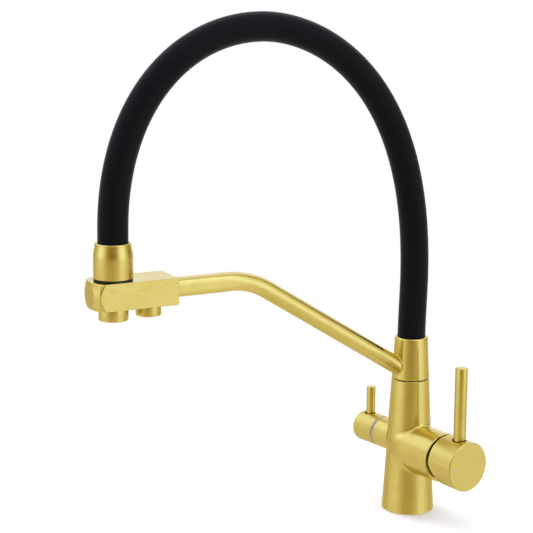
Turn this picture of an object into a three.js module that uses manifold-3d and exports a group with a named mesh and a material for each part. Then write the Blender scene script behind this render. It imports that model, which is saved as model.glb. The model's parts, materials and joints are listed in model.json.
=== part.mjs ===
// Three way filtered water tap: a tapered column with a mixer lever on one side and a filtered
// water lever on the other, a spout that swivels on top, and a soft hose that arches from the
// column to a block with two outlets, one for mixed water and one for filtered water.
//
// Millimetres, +Z up. The origin is the centre of the column's foot, on the worktop. The mixer
// looks along +X, the filter valve along -X, and the spout points to the front, -Y, swung a few
// degrees about the column.

import * as THREE from 'three';
import { mergeVertices } from 'three/addons/utils/BufferGeometryUtils.js';
import Module from 'manifold-3d';

const wasm = await Module();
wasm.setup();

// ---------------------------------------------------------------------------- driving sizes

// Clearance that every seated, screwed or running piece keeps to its neighbour.
const fit = 0.3;
// How far a cutting shape runs past the face that it opens.
const past = 1;

// Column
const baseRadius = 24;
const baseChamfer = 0.8;
const seamHeight = 124.7;
const seamRadius = 17.2;
const seamGap = 0.9;
const deckBoreRadius = 15.5;
const deckBoreDepth = 30;

// Seal under the foot
const gasketRadius = 21.6;
const gasketWidth = 3.2;
const gasketThickness = 1.6;

// Supply inlets and fixing stud, screwed into the roof of the deck bore
const inletRadius = 5;
const inletWall = 1.6;
const inletLength = 22;
const inletThread = 5;
const mixedInletForward = 5.5;
const mixedInletSpread = 8.2;
const filterInletBack = 9.6;
const filterInletRadius = 4;
const studRadius = 3;
const studLength = 20;
const studBack = 1.2;

// Mixer barrel and cartridge
const mixerHeight = 60;
const mixerRadius = 22.3;
const mixerReach = 48.5;
// How the barrel swells out of the column: radius and reach, both as shares of its full radius
const mixerSwell = [[0, -0.72], [0.5, -0.62], [0.8, -0.27], [0.95, 0.1], [1, 0.45]];
const cartridgeRadius = 17.4;
const pocketDepth = 38.1;
const baseSealThickness = 1.5;
const basePlateThickness = 4.5;
const fixedDiscThickness = 3.5;
const movingDiscThickness = 3.7;
const movingDiscRadius = 11.6;
const mixingSlotDepth = 1.6;
const mixingSlotHalfWidth = 3.6;
const mixingSlotAbove = 1.2;
const driverThickness = 5;
const shellBore = 15;
const shellLength = 26.2;
const shellRoof = 2.5;
const shellNeckRadius = 12.3;
const shellNeckLength = 4;
const shellNeckBore = 10.5;
const portRadius = 2;
const portCircle = 6.6;
const inletPortAngle = 45;
const mixedWayRadius = 2.6;
const nutLength = 4.4;

// Mixer stem, which rocks on its pin and drives the moving disc with its ball
const stemRadius = 4;
const stemNeckRadius = 1.8;
const stemSquare = 7.6;
const stemSquareLength = 8;
const ballRadius = 2.4;
const ballInset = 1.1;
const ballArm = 9;
const pinRadius = 1.5;
const pinHalfLength = 9;
const flowAngle = 20;
const domeRadius = 22.4;
const domeWall = 1.2;
const domeMouth = 13.5;
const domeClearance = 0.8;

// Mixer cap and lever
const capGap = 2.6;
const capLength = 29.1;
const capChamfer = 0.5;
const reliefAngle = 26;
const mixerLeverInset = 12.1;
const mixerLeverRadius = 5.5;
const mixerLeverRise = 88.3;
const mixerRecessDepth = 5;
const leverRecessMargin = 1.3;
const leverChamfer = 0.7;
const mixerStudRadius = 3;
const mixerStudLength = 7.5;
const mixerGrubRadius = 2.5;
const mixerGrubLength = 8;

// Filter barrel and valve
const filterHeight = 63;
const filterRadius = 14.3;
const filterReach = 36;
const valveRadius = 9.1;
const valvePocketDepth = 25;
const valveSealThickness = 2;
const valveDiscThickness = 2.8;
const valveBore = 6.6;
const valveBoreDepth = 13.3;
const valvePortRadius = 1.6;
const valvePortOffset = 3.4;
const valveSlotDepth = 1.4;
const filterRiserBack = 7;
const valveFlangeRadius = 10.3;
const valveFlange = 2.2;
const valveNeckRadius = 7.4;
const valveNeckLength = 4.5;
const valveStemRadius = 4;
const valveStemReach = 52;
const valveRingWidth = 2;
const valveRingThickness = 1.1;

// Filter knob and lever
const knobGap = 2.8;
const knobLength = 27.3;
const knobRound = 3;
const knobWall = 1.9;
const knobWasherRadius = 13.8;
const filterLeverInset = 10.2;
const filterLeverRadius = 4.15;
const filterLeverRise = 39.7;
const filterRecessDepth = 4;
const filterStudRadius = 2.3;
const filterStudLength = 4.4;
const filterGrubRadius = 2;
const filterGrubLength = 6;

// Swivel on top of the column
const spoutSwing = -7.5;
const spigotRadius = 10.7;
const spigotDepth = 24;
const journalRadius = 11.3;
const journalLength = 25;
const waterwayRadius = 4;
const ringGroove = 1.9;
const ringWidth = 2.2;
const lowerRingRise = 6;
const upperRingRise = 18.6;
const galleryRise = 12.3;
const galleryWidth = 5;
const galleryDepth = 1.2;
const circlipRise = 22.5;
const circlipThickness = 1.2;
const circlipReach = 1.3;
const slipRingRadius = 13.5;
const slipRingWidth = 2.4;
const slipRingThickness = 1.8;

// Swivel collar
const collarHeight = 38.9;
const collarTopRadius = 15;
const lipRound = 1.5;

// Arm: a tube that climbs from the collar, bends, and runs level to the outlet block. Round at its
// foot, it is drawn to a rounded square from before the end of the bend to a little after it.
// Its root, where its centre line meets the column's axis, lies a little over the seam.
const armRadius = 7.9;
const armWall = 1.8;
const armRootRise = 3.3;
const armOuterHeight = 232;
const armClimb = 31.7;
const armBendRadius = 71;
const armSquareBefore = 23;
const armSquareAfter = 15;
// Power of the rounded square's outline; 2 is a circle
const armSquareness = 6;
const armSpigotStep = 0.3;
const armSocketDepth = 8.5;
const armWebInCollar = 1.8;

// Outlet block
const spoutReach = 294.4;
const blockRear = 242.7;
const blockFront = 315.8;
const blockHalfWidth = 17.3;
const blockHeight = 22.9;
const blockEndDisc = 9.7;
const blockEndDish = 2.9;
// How far the turned end falls back for each millimetre of radius, past the half width
const blockEndFall = 1.3;
const blockPassage = 6;

// Nozzles under the block
const mainNozzleRadius = 12.35;
const mainNozzleDrop = 10.7;
const filterNozzleRadius = 10.7;
const filterNozzleDrop = 9.7;
const filterNozzleSet = 20.3;
const nozzleWall = 1.8;
const nozzleSpigotLength = 8;
const nozzleSpigotStep = 1.8;
const nozzleRound = 0.9;
const aeratorThickness = 2.4;
const aeratorInset = 0.9;
const aeratorHoleRadius = 1.1;
const aeratorPitch = 3.2;

// Ferrule and its ring, on top of the block
const ferruleRadius = 16.45;
const ferruleTopRadius = 15;
const ferruleHeight = 29.35;
const ferruleShoulder = 9.5;
const ferruleFloor = 7.4;
const ferruleRingThickness = 1.15;
const ferruleRingWidth = 2.9;

// Hose: a soft sleeve over a pressure tube, clipped between collar and ferrule
const hoseRadius = 12.75;
const sleeveWall = 2.6;
const tubeRadius = 7.6;
const tubeWall = 2.2;
const hoseSocketDepth = 11.6;
const fittingFlange = 2.2;
const fittingBore = 2.6;
const barbLength = 14;
const barbSlack = 0.9;
const noseLength = 6;

// Hose route, in the spout's own plane: (forward of the column axis, height)
const hoseBulge = 1.5;
const hoseRiseEnd = 224;
const crownReach = 157.9;
const crownHeight = 447.8;
const hoseDropStart = 284.6;
const riseHandle = 175.7;
const crownRearHandle = 57.2;
const crownFrontHandle = 74.8;
const dropHandle = 103.4;

// Facets round a full circle: large, middling and small pieces
const large = 36;
const medium = 20;
const small = 10;
const sealFacets = 6;
const armSteps = 26;
const armSides = 24;
const hoseSteps = 44;

// ---------------------------------------------------------------------------- worked-out sizes

const rad = THREE.MathUtils.degToRad;

const bodyTop = seamHeight - seamGap / 2;
const collarBottom = seamHeight + seamGap / 2;
const collarTop = seamHeight + collarHeight;
const armRootHeight = seamHeight + armRootRise;
const columnTaper = (baseRadius - seamRadius) / seamHeight;
const columnRadiusAt = (z) => baseRadius - columnTaper * z;

const pocketFloor = mixerReach - pocketDepth;
const baseSeal = stack(pocketFloor, baseSealThickness);
const basePlate = stack(baseSeal.end, basePlateThickness);
const fixedDisc = stack(basePlate.end, fixedDiscThickness);
const movingDisc = stack(fixedDisc.end, movingDiscThickness);
const driver = stack(movingDisc.end, driverThickness);
const shell = stack(basePlate.end, shellLength);
const nut = stack(shell.end, nutLength);
const ballCentre = driver.end - ballInset;
const pivot = ballCentre + ballArm;
const carrierStart = driver.end + fit;
const carrierEnd = shell.end - shellRoof - fit;
const carrierNeckEnd = shell.end + shellNeckLength - 2 * fit;
const capStart = mixerReach + capGap;
const capEnd = capStart + capLength;
const cavityRadius = domeRadius + domeClearance;
const socketStart = pivot + cavityRadius;
const mixerLeverAt = capEnd - mixerLeverInset;
const stemHalf = stemSquare / 2;
const rock = Math.sin(rad(flowAngle));

const valveFloor = filterReach - valvePocketDepth;
const valveSeal = stack(valveFloor, valveSealThickness);
const valveFixedDisc = stack(valveSeal.end, valveDiscThickness);
const valveStart = valveFixedDisc.end + fit;
const valveMovingDisc = stack(valveFixedDisc.end, valveDiscThickness);
const valveShoulder = valveStart + valveBoreDepth;
const flangeStart = filterReach + fit;
const flangeEnd = flangeStart + valveFlange;
const valveNeckEnd = flangeEnd + valveNeckLength;
const knobStart = filterReach + knobGap;
const knobEnd = knobStart + knobLength;
const filterLeverAt = knobEnd - filterLeverInset;
const valveRingAt = (valveMovingDisc.end + valveShoulder) / 2;

const spigotFloor = bodyTop - spigotDepth;
const journalTop = bodyTop + journalLength;
const collarBore = journalRadius + fit;
const circlipAt = bodyTop + circlipRise;
const galleryAt = bodyTop + galleryRise;
const hoseSocket = hoseRadius + fit;
const lowerFlangeTop = collarTop - hoseSocketDepth;
const hoseStart = lowerFlangeTop + fit;
const hoseSocketFloor = lowerFlangeTop - fittingFlange - fit;

const filterNozzleReach = blockRear + filterNozzleSet;
const blockTop = armOuterHeight + blockHeight / 2;
const blockBottom = armOuterHeight - blockHeight / 2;
const ferruleBottom = blockTop + ferruleRingThickness + 2 * fit;
const ferruleTop = ferruleBottom + ferruleHeight;
const upperFlangeTop = ferruleBottom + ferruleFloor + fit + fittingFlange;
const hoseEnd = upperFlangeTop + fit;

// A layer of the given thickness, laid on what ends at "below".
function stack(below, thickness) {
  return { start: below + fit, end: below + fit + thickness };
}

// ---------------------------------------------------------------------------- shape helpers

// A closed manifold solid from any closed geometry, facing out.
function solid(geometry) {
  const bare = geometry.clone();
  for (const name of Object.keys(bare.attributes)) if (name !== 'position') bare.deleteAttribute(name);
  const merged = mergeVertices(bare, 1e-4);
  const points = merged.attributes.position;
  const faces = [];
  for (let i = 0; i < merged.index.count; i += 3) {
    const [a, b, c] = [0, 1, 2].map((k) => merged.index.getX(i + k));
    if (a !== b && b !== c && c !== a) faces.push([a, b, c]);
  }
  const at = (i) => new THREE.Vector3().fromBufferAttribute(points, i);
  const volume = faces.reduce((sum, [a, b, c]) => sum + at(a).dot(at(b).cross(at(c))) / 6, 0);
  const facing = volume < 0 ? faces.map(([a, b, c]) => [a, c, b]) : faces;
  return new wasm.Manifold(new wasm.Mesh({
    numProp: 3,
    vertProperties: new Float32Array(points.array),
    triVerts: new Uint32Array(facing.flat()),
  }));
}

// Back from a manifold solid to a three.js geometry.
function geometryOf(body) {
  const mesh = body.getMesh();
  const geometry = new THREE.BufferGeometry();
  const places = new Float32Array(mesh.numVert * 3);
  for (let i = 0; i < mesh.numVert; i++) {
    for (let k = 0; k < 3; k++) places[3 * i + k] = mesh.vertProperties[mesh.numProp * i + k];
  }
  geometry.setAttribute('position', new THREE.BufferAttribute(places, 3));
  geometry.setIndex(new THREE.BufferAttribute(new Uint32Array(mesh.triVerts), 1));
  geometry.computeVertexNormals();
  return geometry;
}

// A body of revolution about Z from a closed outline of [radius, height] points.
function turned(outline, facets = medium) {
  const closed = [...outline, outline[0]].map(([r, z]) => new THREE.Vector2(r, z));
  return solid(new THREE.LatheGeometry(closed, facets).rotateX(Math.PI / 2));
}

// A plain cylinder about Z, and a plain ring about Z.
const rod = (radius, from, to, facets = small) => turned([[0, from], [radius, from], [radius, to],
  [0, to]], facets);
const tube = (inner, outer, from, to, facets = medium) =>
  turned([[inner, from], [outer, from], [outer, to], [inner, to]], facets);

// A rounded seal ring about Z, centred on the given height.
function sealRing(inner, outer, middle, thickness, facets = medium) {
  const outline = [];
  for (let i = 0; i < sealFacets; i++) {
    const angle = (i * 2 * Math.PI) / sealFacets;
    outline.push([(inner + outer) / 2 + ((outer - inner) / 2) * Math.cos(angle),
      middle + (thickness / 2) * Math.sin(angle)]);
  }
  return turned(outline, facets);
}

// A box from its lowest to its highest corner.
function block(low, high) {
  const size = high.map((value, i) => value - low[i]);
  return solid(new THREE.BoxGeometry(...size).translate(...high.map((value, i) => (value + low[i]) / 2)));
}

// The same solid laid along another axis, or moved.
const moved = (body, x, y, z) => body.translate([x, y, z]);
const alongX = (body) => body.rotate([0, 90, 0]);
const alongMinusX = (body) => body.rotate([0, -90, 0]);
const alongY = (body) => body.rotate([-90, 0, 0]);
const alongMinusY = (body) => body.rotate([90, 0, 0]);

// A tube with a bore, swept along a path.
function sweptTube(path, outer, inner, steps, outerSides, innerSides) {
  const circle = (radius, sides) => Array.from({ length: sides }, (_, i) => {
    const angle = (i * 2 * Math.PI) / sides;
    return new THREE.Vector2(radius * Math.cos(angle), radius * Math.sin(angle));
  });
  const section = new THREE.Shape(circle(outer, outerSides));
  if (inner) section.holes.push(new THREE.Path(circle(inner, innerSides)));
  return solid(new THREE.ExtrudeGeometry(section, { steps, extrudePath: path, bevelEnabled: false }));
}

// A closed body through rings of points that each turn the same way about the path.
function lofted(rings) {
  const sides = rings[0].length;
  const last = (rings.length - 1) * sides;
  const faces = [];
  for (let first = 0; first < last; first += sides) {
    for (let k = 0; k < sides; k++) {
      const [a, b] = [first + k, first + ((k + 1) % sides)];
      faces.push(a, b, b + sides, a, b + sides, a + sides);
    }
  }
  for (let k = 1; k + 1 < sides; k++) faces.push(0, k + 1, k, last, last + k, last + k + 1);
  const geometry = new THREE.BufferGeometry().setFromPoints(rings.flat());
  geometry.setIndex(faces);
  return solid(geometry);
}

const metal = (color, roughness) => new THREE.MeshStandardMaterial({ color, roughness, metalness: 1 });
const matte = (color, roughness) => new THREE.MeshStandardMaterial({ color, roughness, metalness: 0 });
const brushedGold = () => metal(0xc9b063, 0.32);
const plainBrass = () => metal(0xb8964a, 0.45);
const steel = () => metal(0xb6b8ba, 0.35);
const blackRubber = () => matte(0x141414, 0.7);
const blackPlastic = () => matte(0x1b1b1d, 0.5);
const whitePlastic = () => matte(0xe4e2dc, 0.5);
const greyPlastic = () => matte(0xb4b2b8, 0.45);
const ceramic = () => matte(0xf0ece4, 0.25);
const silicone = () => matte(0x1d1e20, 0.55);

const tap = new THREE.Group();
const spout = new THREE.Group();
spout.rotation.z = rad(spoutSwing);
// Mixer group: its +Z looks out along the barrel, its -X is up. Filter group: +X is up.
const mixer = new THREE.Group();
mixer.position.z = mixerHeight;
mixer.rotation.y = Math.PI / 2;
const filter = new THREE.Group();
filter.position.z = filterHeight;
filter.rotation.y = -Math.PI / 2;
tap.add(spout, mixer, filter);

function add(group, name, body, material) {
  const mesh = new THREE.Mesh(geometryOf(body), material);
  mesh.name = name;
  group.add(mesh);
}

// ---------------------------------------------------------------------------- column

// Barrels that leave the column to both sides; the mixer's swells out of the column's own width.
const mixerBarrel = alongX(turned([
  ...mixerSwell.map((shares) => shares.map((share) => share * mixerRadius)),
  [mixerRadius, mixerReach - capChamfer], [mixerRadius - capChamfer, mixerReach], [0, mixerReach],
], large));
const filterBarrel = alongMinusX(rod(filterRadius, 0, filterReach, large));

let column = turned([
  [0, 0], [baseRadius - baseChamfer, 0], [columnRadiusAt(baseChamfer), baseChamfer],
  [columnRadiusAt(bodyTop), bodyTop], [0, bodyTop],
], large).add(moved(mixerBarrel, 0, 0, mixerHeight)).add(moved(filterBarrel, 0, 0, filterHeight));

// Deck bore, gasket groove, cartridge and valve pockets, and the seat of the swivel.
const gasketGroove = tube(gasketRadius - gasketWidth - fit, gasketRadius + fit, -past,
  gasketThickness + fit, large);
const pocketRadius = cartridgeRadius + fit;
const valvePocket = valveRadius + fit;
const spigotSeat = spigotRadius + fit;
column = column
  .subtract(rod(deckBoreRadius, -past, deckBoreDepth, medium))
  .subtract(gasketGroove)
  .subtract(moved(alongX(rod(pocketRadius, pocketFloor, mixerReach + past, large)), 0, 0, mixerHeight))
  .subtract(moved(alongMinusX(rod(valvePocket, valveFloor, filterReach + past, medium)), 0, 0,
    filterHeight))
  .subtract(rod(spigotSeat, spigotFloor, bodyTop + past, medium))
  .subtract(tube(slipRingRadius - slipRingWidth / 2 - fit, slipRingRadius + slipRingWidth / 2 + fit,
    collarBottom - slipRingThickness - 2 * fit, bodyTop + past, medium));

// Waterways: hot and cold up to the mixer's upper ports, mixed water from its lower port up to the
// swivel, and filtered water in at the valve's lower port and up from its upper one.
const inletTop = deckBoreDepth + inletThread;
const inletSocket = (radius, x, y) => moved(rod(radius + fit, deckBoreDepth - past, inletTop + fit), x, y,
  0);
const inletPortSpread = portCircle * Math.sin(rad(inletPortAngle));
const inletPortRise = portCircle * Math.cos(rad(inletPortAngle));
const hotAndCold = mixerHeight + inletPortRise;
const mixedOut = mixerHeight - portCircle;
const mixedRiserForward = waterwayRadius - mixedWayRadius;
for (const side of [-1, 1]) {
  const y = side * inletPortSpread;
  column = column
    .subtract(inletSocket(inletRadius, mixedInletForward, side * mixedInletSpread))
    .subtract(moved(rod(portRadius, inletTop, hotAndCold + portRadius), mixedInletForward, y, 0))
    .subtract(moved(alongX(rod(portRadius, mixedInletForward, pocketFloor + past)), 0, y, hotAndCold));
}
const filterWays = [[inletTop, filterHeight - valvePortOffset],
  [filterHeight + valvePortOffset, spigotFloor + past]];
for (const [from, to] of filterWays) {
  column = column.subtract(moved(rod(valvePortRadius, from, to), -filterRiserBack, 0, 0));
}
for (const height of [filterHeight - valvePortOffset, filterHeight + valvePortOffset]) {
  column = column
    .subtract(moved(alongMinusX(rod(valvePortRadius, filterRiserBack - valvePortRadius,
      valveFloor + past)), 0, 0, height));
}
column = column
  .subtract(moved(alongX(rod(portRadius, mixedRiserForward, pocketFloor + past)), 0, 0, mixedOut))
  .subtract(moved(rod(mixedWayRadius, mixedOut - portRadius, spigotFloor + past), mixedRiserForward, 0,
    0))
  .subtract(inletSocket(filterInletRadius, -filterInletBack, 0))
  .subtract(inletSocket(studRadius, -studBack, 0));
add(tap, 'column', column, brushedGold());

add(tap, 'deck_gasket', tube(gasketRadius - gasketWidth, gasketRadius, 0, gasketThickness, large),
  blackRubber());

// Inlet stubs hang in the deck bore, each screwed up into its waterway.
const inlet = (radius) => tube(radius - inletWall, radius, inletTop - inletLength, inletTop, small);
add(tap, 'hot_inlet', moved(inlet(inletRadius), mixedInletForward, -mixedInletSpread, 0), plainBrass());
add(tap, 'cold_inlet', moved(inlet(inletRadius), mixedInletForward, mixedInletSpread, 0), plainBrass());
add(tap, 'filter_inlet', moved(inlet(filterInletRadius), -filterInletBack, 0, 0), plainBrass());
add(tap, 'fixing_stud', moved(rod(studRadius, inletTop - studLength, inletTop), -studBack, 0, 0),
  steel());

// ---------------------------------------------------------------------------- mixer cartridge

// Three ports through each plate of the cartridge: two inlets above the axis, the outlet below.
const portPlaces = [[portCircle, 0], [-inletPortRise, inletPortSpread],
  [-inletPortRise, -inletPortSpread]];
const portedPlate = (radius, { start, end }) => portPlaces.reduce(
  (plate, [x, y]) => plate.subtract(moved(rod(portRadius, start - past, end + past), x, y, 0)),
  rod(radius, start, end, medium),
);

add(mixer, 'cartridge_base_seal', portedPlate(cartridgeRadius - 2 * fit, baseSeal), blackRubber());
add(mixer, 'cartridge_base', portedPlate(cartridgeRadius, basePlate), whitePlastic());
add(mixer, 'ceramic_disc_fixed', portedPlate(shellBore - fit, fixedDisc), ceramic());
// The slot under the moving disc reaches the outlet always, and the inlets only once the disc is up.
const mixingSlot = block([-mixingSlotAbove, -mixingSlotHalfWidth, movingDisc.start - past],
  [portCircle + portRadius, mixingSlotHalfWidth, movingDisc.start + mixingSlotDepth]);
add(mixer, 'ceramic_disc_moving',
  rod(movingDiscRadius, movingDisc.start, movingDisc.end, medium).subtract(mixingSlot), ceramic());
const ballSocket = ballRadius + 3 * fit;
add(mixer, 'disc_driver', tube(ballSocket, movingDiscRadius, driver.start, driver.end), blackPlastic());

const shellTop = shell.end + shellNeckLength;
add(mixer, 'cartridge_shell', turned([
  [shellBore, shell.start], [cartridgeRadius, shell.start], [cartridgeRadius, shell.end],
  [shellNeckRadius, shell.end],
  [shellNeckRadius, shellTop], [shellNeckBore, shellTop], [shellNeckBore, shell.end - shellRoof],
  [shellBore, shell.end - shellRoof],
]), whitePlastic());
add(mixer, 'cartridge_nut', tube(shellNeckRadius + fit, cartridgeRadius, nut.start, nut.end),
  plainBrass());

// The carrier turns in the shell. Its slot lets the stem rock about the pin.
const slotWide = stemRadius + fit;
const slotTall = (carrierNeckEnd - pivot) * rock + stemRadius / Math.cos(rad(flowAngle)) + fit;
const pinHole = alongY(rod(pinRadius + fit, -pinHalfLength - fit, pinHalfLength + fit));
const carrier = turned([
  [0, carrierStart], [shellBore - fit, carrierStart], [shellBore - fit, carrierEnd],
  [shellNeckBore - fit, carrierEnd], [shellNeckBore - fit, carrierNeckEnd], [0, carrierNeckEnd],
]).subtract(block([-slotTall, -slotWide, carrierStart - past],
  [slotTall, slotWide, carrierNeckEnd + past]))
  .subtract(moved(pinHole, 0, 0, pivot));
add(mixer, 'cartridge_carrier', carrier, whitePlastic());
add(mixer, 'stem_pin', moved(alongY(rod(pinRadius, -pinHalfLength, pinHalfLength)), 0, 0, pivot),
  steel());

// Stem: ball, neck, round shank over the pin, and the square that carries the cap.
const shankStart = pivot - stemRadius - fit;
const shankEnd = socketStart + fit;
const ball = solid(new THREE.SphereGeometry(ballRadius, small, small / 2).translate(0, 0, ballCentre));
const stem = rod(stemNeckRadius, ballCentre, shankStart + stemRadius / 2)
  .add(ball)
  .add(rod(stemRadius, shankStart, shankEnd, medium))
  .add(block([-stemHalf, -stemHalf, shankEnd - stemRadius / 2],
    [stemHalf, stemHalf, shankEnd + stemSquareLength]))
  .subtract(moved(alongY(rod(pinRadius + fit, -stemRadius - past, stemRadius + past)), 0, 0, pivot));
add(mixer, 'mixer_stem', stem, steel());

// Black dome round the stem, seated on the barrel's end and centred on the pin.
const arc = (radius, fromHeight, toHeight, steps = 5) => Array.from({ length: steps + 1 }, (_, i) => {
  const from = Math.asin(fromHeight / radius);
  const to = Math.asin(toHeight / radius);
  const angle = from + ((to - from) * i) / steps;
  return [radius * Math.cos(angle), pivot + radius * Math.sin(angle)];
});
const domeSeat = mixerReach + fit - pivot;
const domeInner = domeRadius - domeWall;
const domeMouthOuter = Math.sqrt(domeRadius ** 2 - domeMouth ** 2);
const domeMouthInner = Math.sqrt(domeInner ** 2 - domeMouth ** 2);
const dome = turned([...arc(domeRadius, domeSeat, domeMouthOuter),
  ...arc(domeInner, domeMouthInner, domeSeat)], large);
add(mixer, 'mixer_dome', dome, blackPlastic());

// ---------------------------------------------------------------------------- mixer cap and lever

// Up is -X in this group. The lower half of the cap's rear edge is cut back, so that it can rock.
const reliefSlope = Math.tan(rad(reliefAngle));
const reliefDepth = mixerRadius + past;
const relief = solid(new THREE.ExtrudeGeometry(
  new THREE.Shape([[0, capStart], [reliefDepth, capStart + reliefDepth * reliefSlope],
    [reliefDepth, capStart - past], [0, capStart - past]].map(([x, y]) => new THREE.Vector2(x, y))),
  { depth: 2 * mixerRadius + 2 * past, bevelEnabled: false },
).rotateX(Math.PI / 2).translate(0, mixerRadius + past, 0));
const up = (body) => body.rotate([0, -90, 0]);
const mixerRecess = mixerLeverRadius + leverRecessMargin;
const mixerRecessFloor = mixerRadius - mixerRecessDepth;
const mixerStudEnd = mixerRecessFloor + fit - mixerStudLength;
const mixerSocketHalf = stemHalf + fit;
const mixerGrubAt = shankEnd + stemSquareLength / 2;
const mixerCavity = solid(new THREE.SphereGeometry(cavityRadius, large,
  large / 2).rotateX(Math.PI / 2).translate(0, 0, pivot));
const mixerCap = turned([
  [0, capStart], [mixerRadius - capChamfer, capStart], [mixerRadius, capStart + capChamfer],
  [mixerRadius, capEnd - capChamfer], [mixerRadius - capChamfer, capEnd], [0, capEnd],
], large)
  .subtract(mixerCavity)
  .subtract(relief)
  .subtract(block([-mixerSocketHalf, -mixerSocketHalf, socketStart - past],
    [mixerSocketHalf, mixerSocketHalf, shankEnd + stemSquareLength + fit]))
  .subtract(moved(up(rod(mixerRecess, mixerRecessFloor, mixerRadius + past, medium)), 0, 0, mixerLeverAt))
  .subtract(moved(up(rod(mixerStudRadius + fit, mixerStudEnd - fit, mixerRadius)), 0, 0, mixerLeverAt))
  .subtract(moved(up(rod(mixerGrubRadius + fit, -mixerRadius - past, 0)), 0, 0, mixerGrubAt));
add(mixer, 'mixer_cap', mixerCap, brushedGold());

// A lever rod with its stud, standing up from the given foot.
const lever = (radius, studRadiusHere, studFrom, foot, top) => turned([
  [0, studFrom], [studRadiusHere, studFrom], [studRadiusHere, foot], [radius, foot],
  [radius, top - leverChamfer], [radius - leverChamfer, top], [0, top],
], medium);
const mixerLever = lever(mixerLeverRadius, mixerStudRadius, mixerStudEnd, mixerRecessFloor + fit,
  mixerLeverRise);
add(mixer, 'mixer_lever', moved(up(mixerLever), 0, 0, mixerLeverAt), brushedGold());
const mixerGrubEnd = -stemHalf - fit;
add(mixer, 'mixer_grub_screw',
  moved(up(rod(mixerGrubRadius, mixerGrubEnd - mixerGrubLength, mixerGrubEnd)), 0, 0, mixerGrubAt),
    steel());

// ---------------------------------------------------------------------------- filter valve and knob

// Two ports through the seal and the fixed disc; a slot under the moving disc joins them when open.
const valvePlate = ({ start, end }) => [-1, 1].reduce(
  (plate, side) => plate.subtract(moved(rod(valvePortRadius, start - past, end + past),
    side * valvePortOffset, 0, 0)),
  rod(valveRadius, start, end, medium),
);
const slotReach = valvePortOffset + valvePortRadius;
const joiningSlot = block([-valvePortRadius, -slotReach, valveMovingDisc.start - past],
  [valvePortRadius, slotReach, valveMovingDisc.start + valveSlotDepth]);
add(filter, 'valve_seal', valvePlate(valveSeal), blackRubber());
add(filter, 'valve_disc_fixed', valvePlate(valveFixedDisc), ceramic());
add(filter, 'valve_disc_moving',
  rod(valveBore - fit, valveMovingDisc.start, valveMovingDisc.end, medium).subtract(joiningSlot),
    ceramic());
add(filter, 'valve_body', turned([
  [valveBore, valveStart], [valveRadius, valveStart], [valveRadius, flangeStart],
  [valveFlangeRadius, flangeStart],
  [valveFlangeRadius, flangeEnd], [valveNeckRadius, flangeEnd], [valveNeckRadius, valveNeckEnd],
  [valveStemRadius + fit, valveNeckEnd], [valveStemRadius + fit, valveShoulder],
  [valveBore, valveShoulder],
]), plainBrass());
const valveFootRadius = valveBore - fit;
const ringFloor = valveFootRadius - valveRingThickness - fit;
const ringHalf = valveRingWidth / 2 + fit;
add(filter, 'knob_washer', tube(valveFlangeRadius + fit, knobWasherRadius, flangeStart, flangeEnd,
  large), greyPlastic());
add(filter, 'valve_stem', turned([
  [0, valveMovingDisc.end + fit], [valveFootRadius, valveMovingDisc.end + fit],
  [valveFootRadius, valveRingAt - ringHalf],
  [ringFloor, valveRingAt - ringHalf], [ringFloor, valveRingAt + ringHalf],
  [valveFootRadius, valveRingAt + ringHalf],
  [valveFootRadius, valveShoulder - fit], [valveStemRadius, valveShoulder - fit],
  [valveStemRadius, valveStemReach],
  [0, valveStemReach],
]), plainBrass());
add(filter, 'valve_stem_ring', sealRing(ringFloor + fit, valveFootRadius, valveRingAt, valveRingWidth),
  blackRubber());

// Up is +X in this group.
const upright = (body) => body.rotate([0, 90, 0]);
const filterRecessFloor = filterRadius - filterRecessDepth;
const filterStudEnd = filterRecessFloor + fit - filterStudLength;
const filterRecess = filterLeverRadius + leverRecessMargin;
const filterGrubAt = (valveNeckEnd + valveStemReach) / 2;
const rounding = Array.from({ length: 5 }, (_, i) => {
  const angle = (i * Math.PI) / 8;
  return [filterRadius - knobRound * (1 - Math.cos(angle)), knobEnd - knobRound * (1 - Math.sin(angle))];
});
const knob = turned([
  [0, valveStemReach + fit], [valveStemRadius + fit, valveStemReach + fit],
  [valveStemRadius + fit, valveNeckEnd + 2 * fit],
  [filterRadius - knobWall, valveNeckEnd + 2 * fit], [filterRadius - knobWall, knobStart],
  [filterRadius, knobStart],
  ...rounding, [0, knobEnd],
], large)
  .subtract(moved(upright(rod(filterRecess, filterRecessFloor, filterRadius + past, medium)), 0, 0,
    filterLeverAt))
  .subtract(moved(upright(rod(filterStudRadius + fit, filterStudEnd - fit, filterRadius)), 0, 0,
    filterLeverAt))
  .subtract(moved(upright(rod(filterGrubRadius + fit, -filterRadius - past, 0)), 0, 0, filterGrubAt));
add(filter, 'filter_knob', knob, brushedGold());
const filterLever = lever(filterLeverRadius, filterStudRadius, filterStudEnd, filterRecessFloor + fit,
  filterLeverRise);
add(filter, 'filter_lever', moved(upright(filterLever), 0, 0, filterLeverAt), brushedGold());
const filterGrubEnd = -valveStemRadius - fit;
add(filter, 'filter_grub_screw',
  moved(upright(rod(filterGrubRadius, filterGrubEnd - filterGrubLength, filterGrubEnd)), 0, 0,
    filterGrubAt), steel());

// ---------------------------------------------------------------------------- swivel

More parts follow.
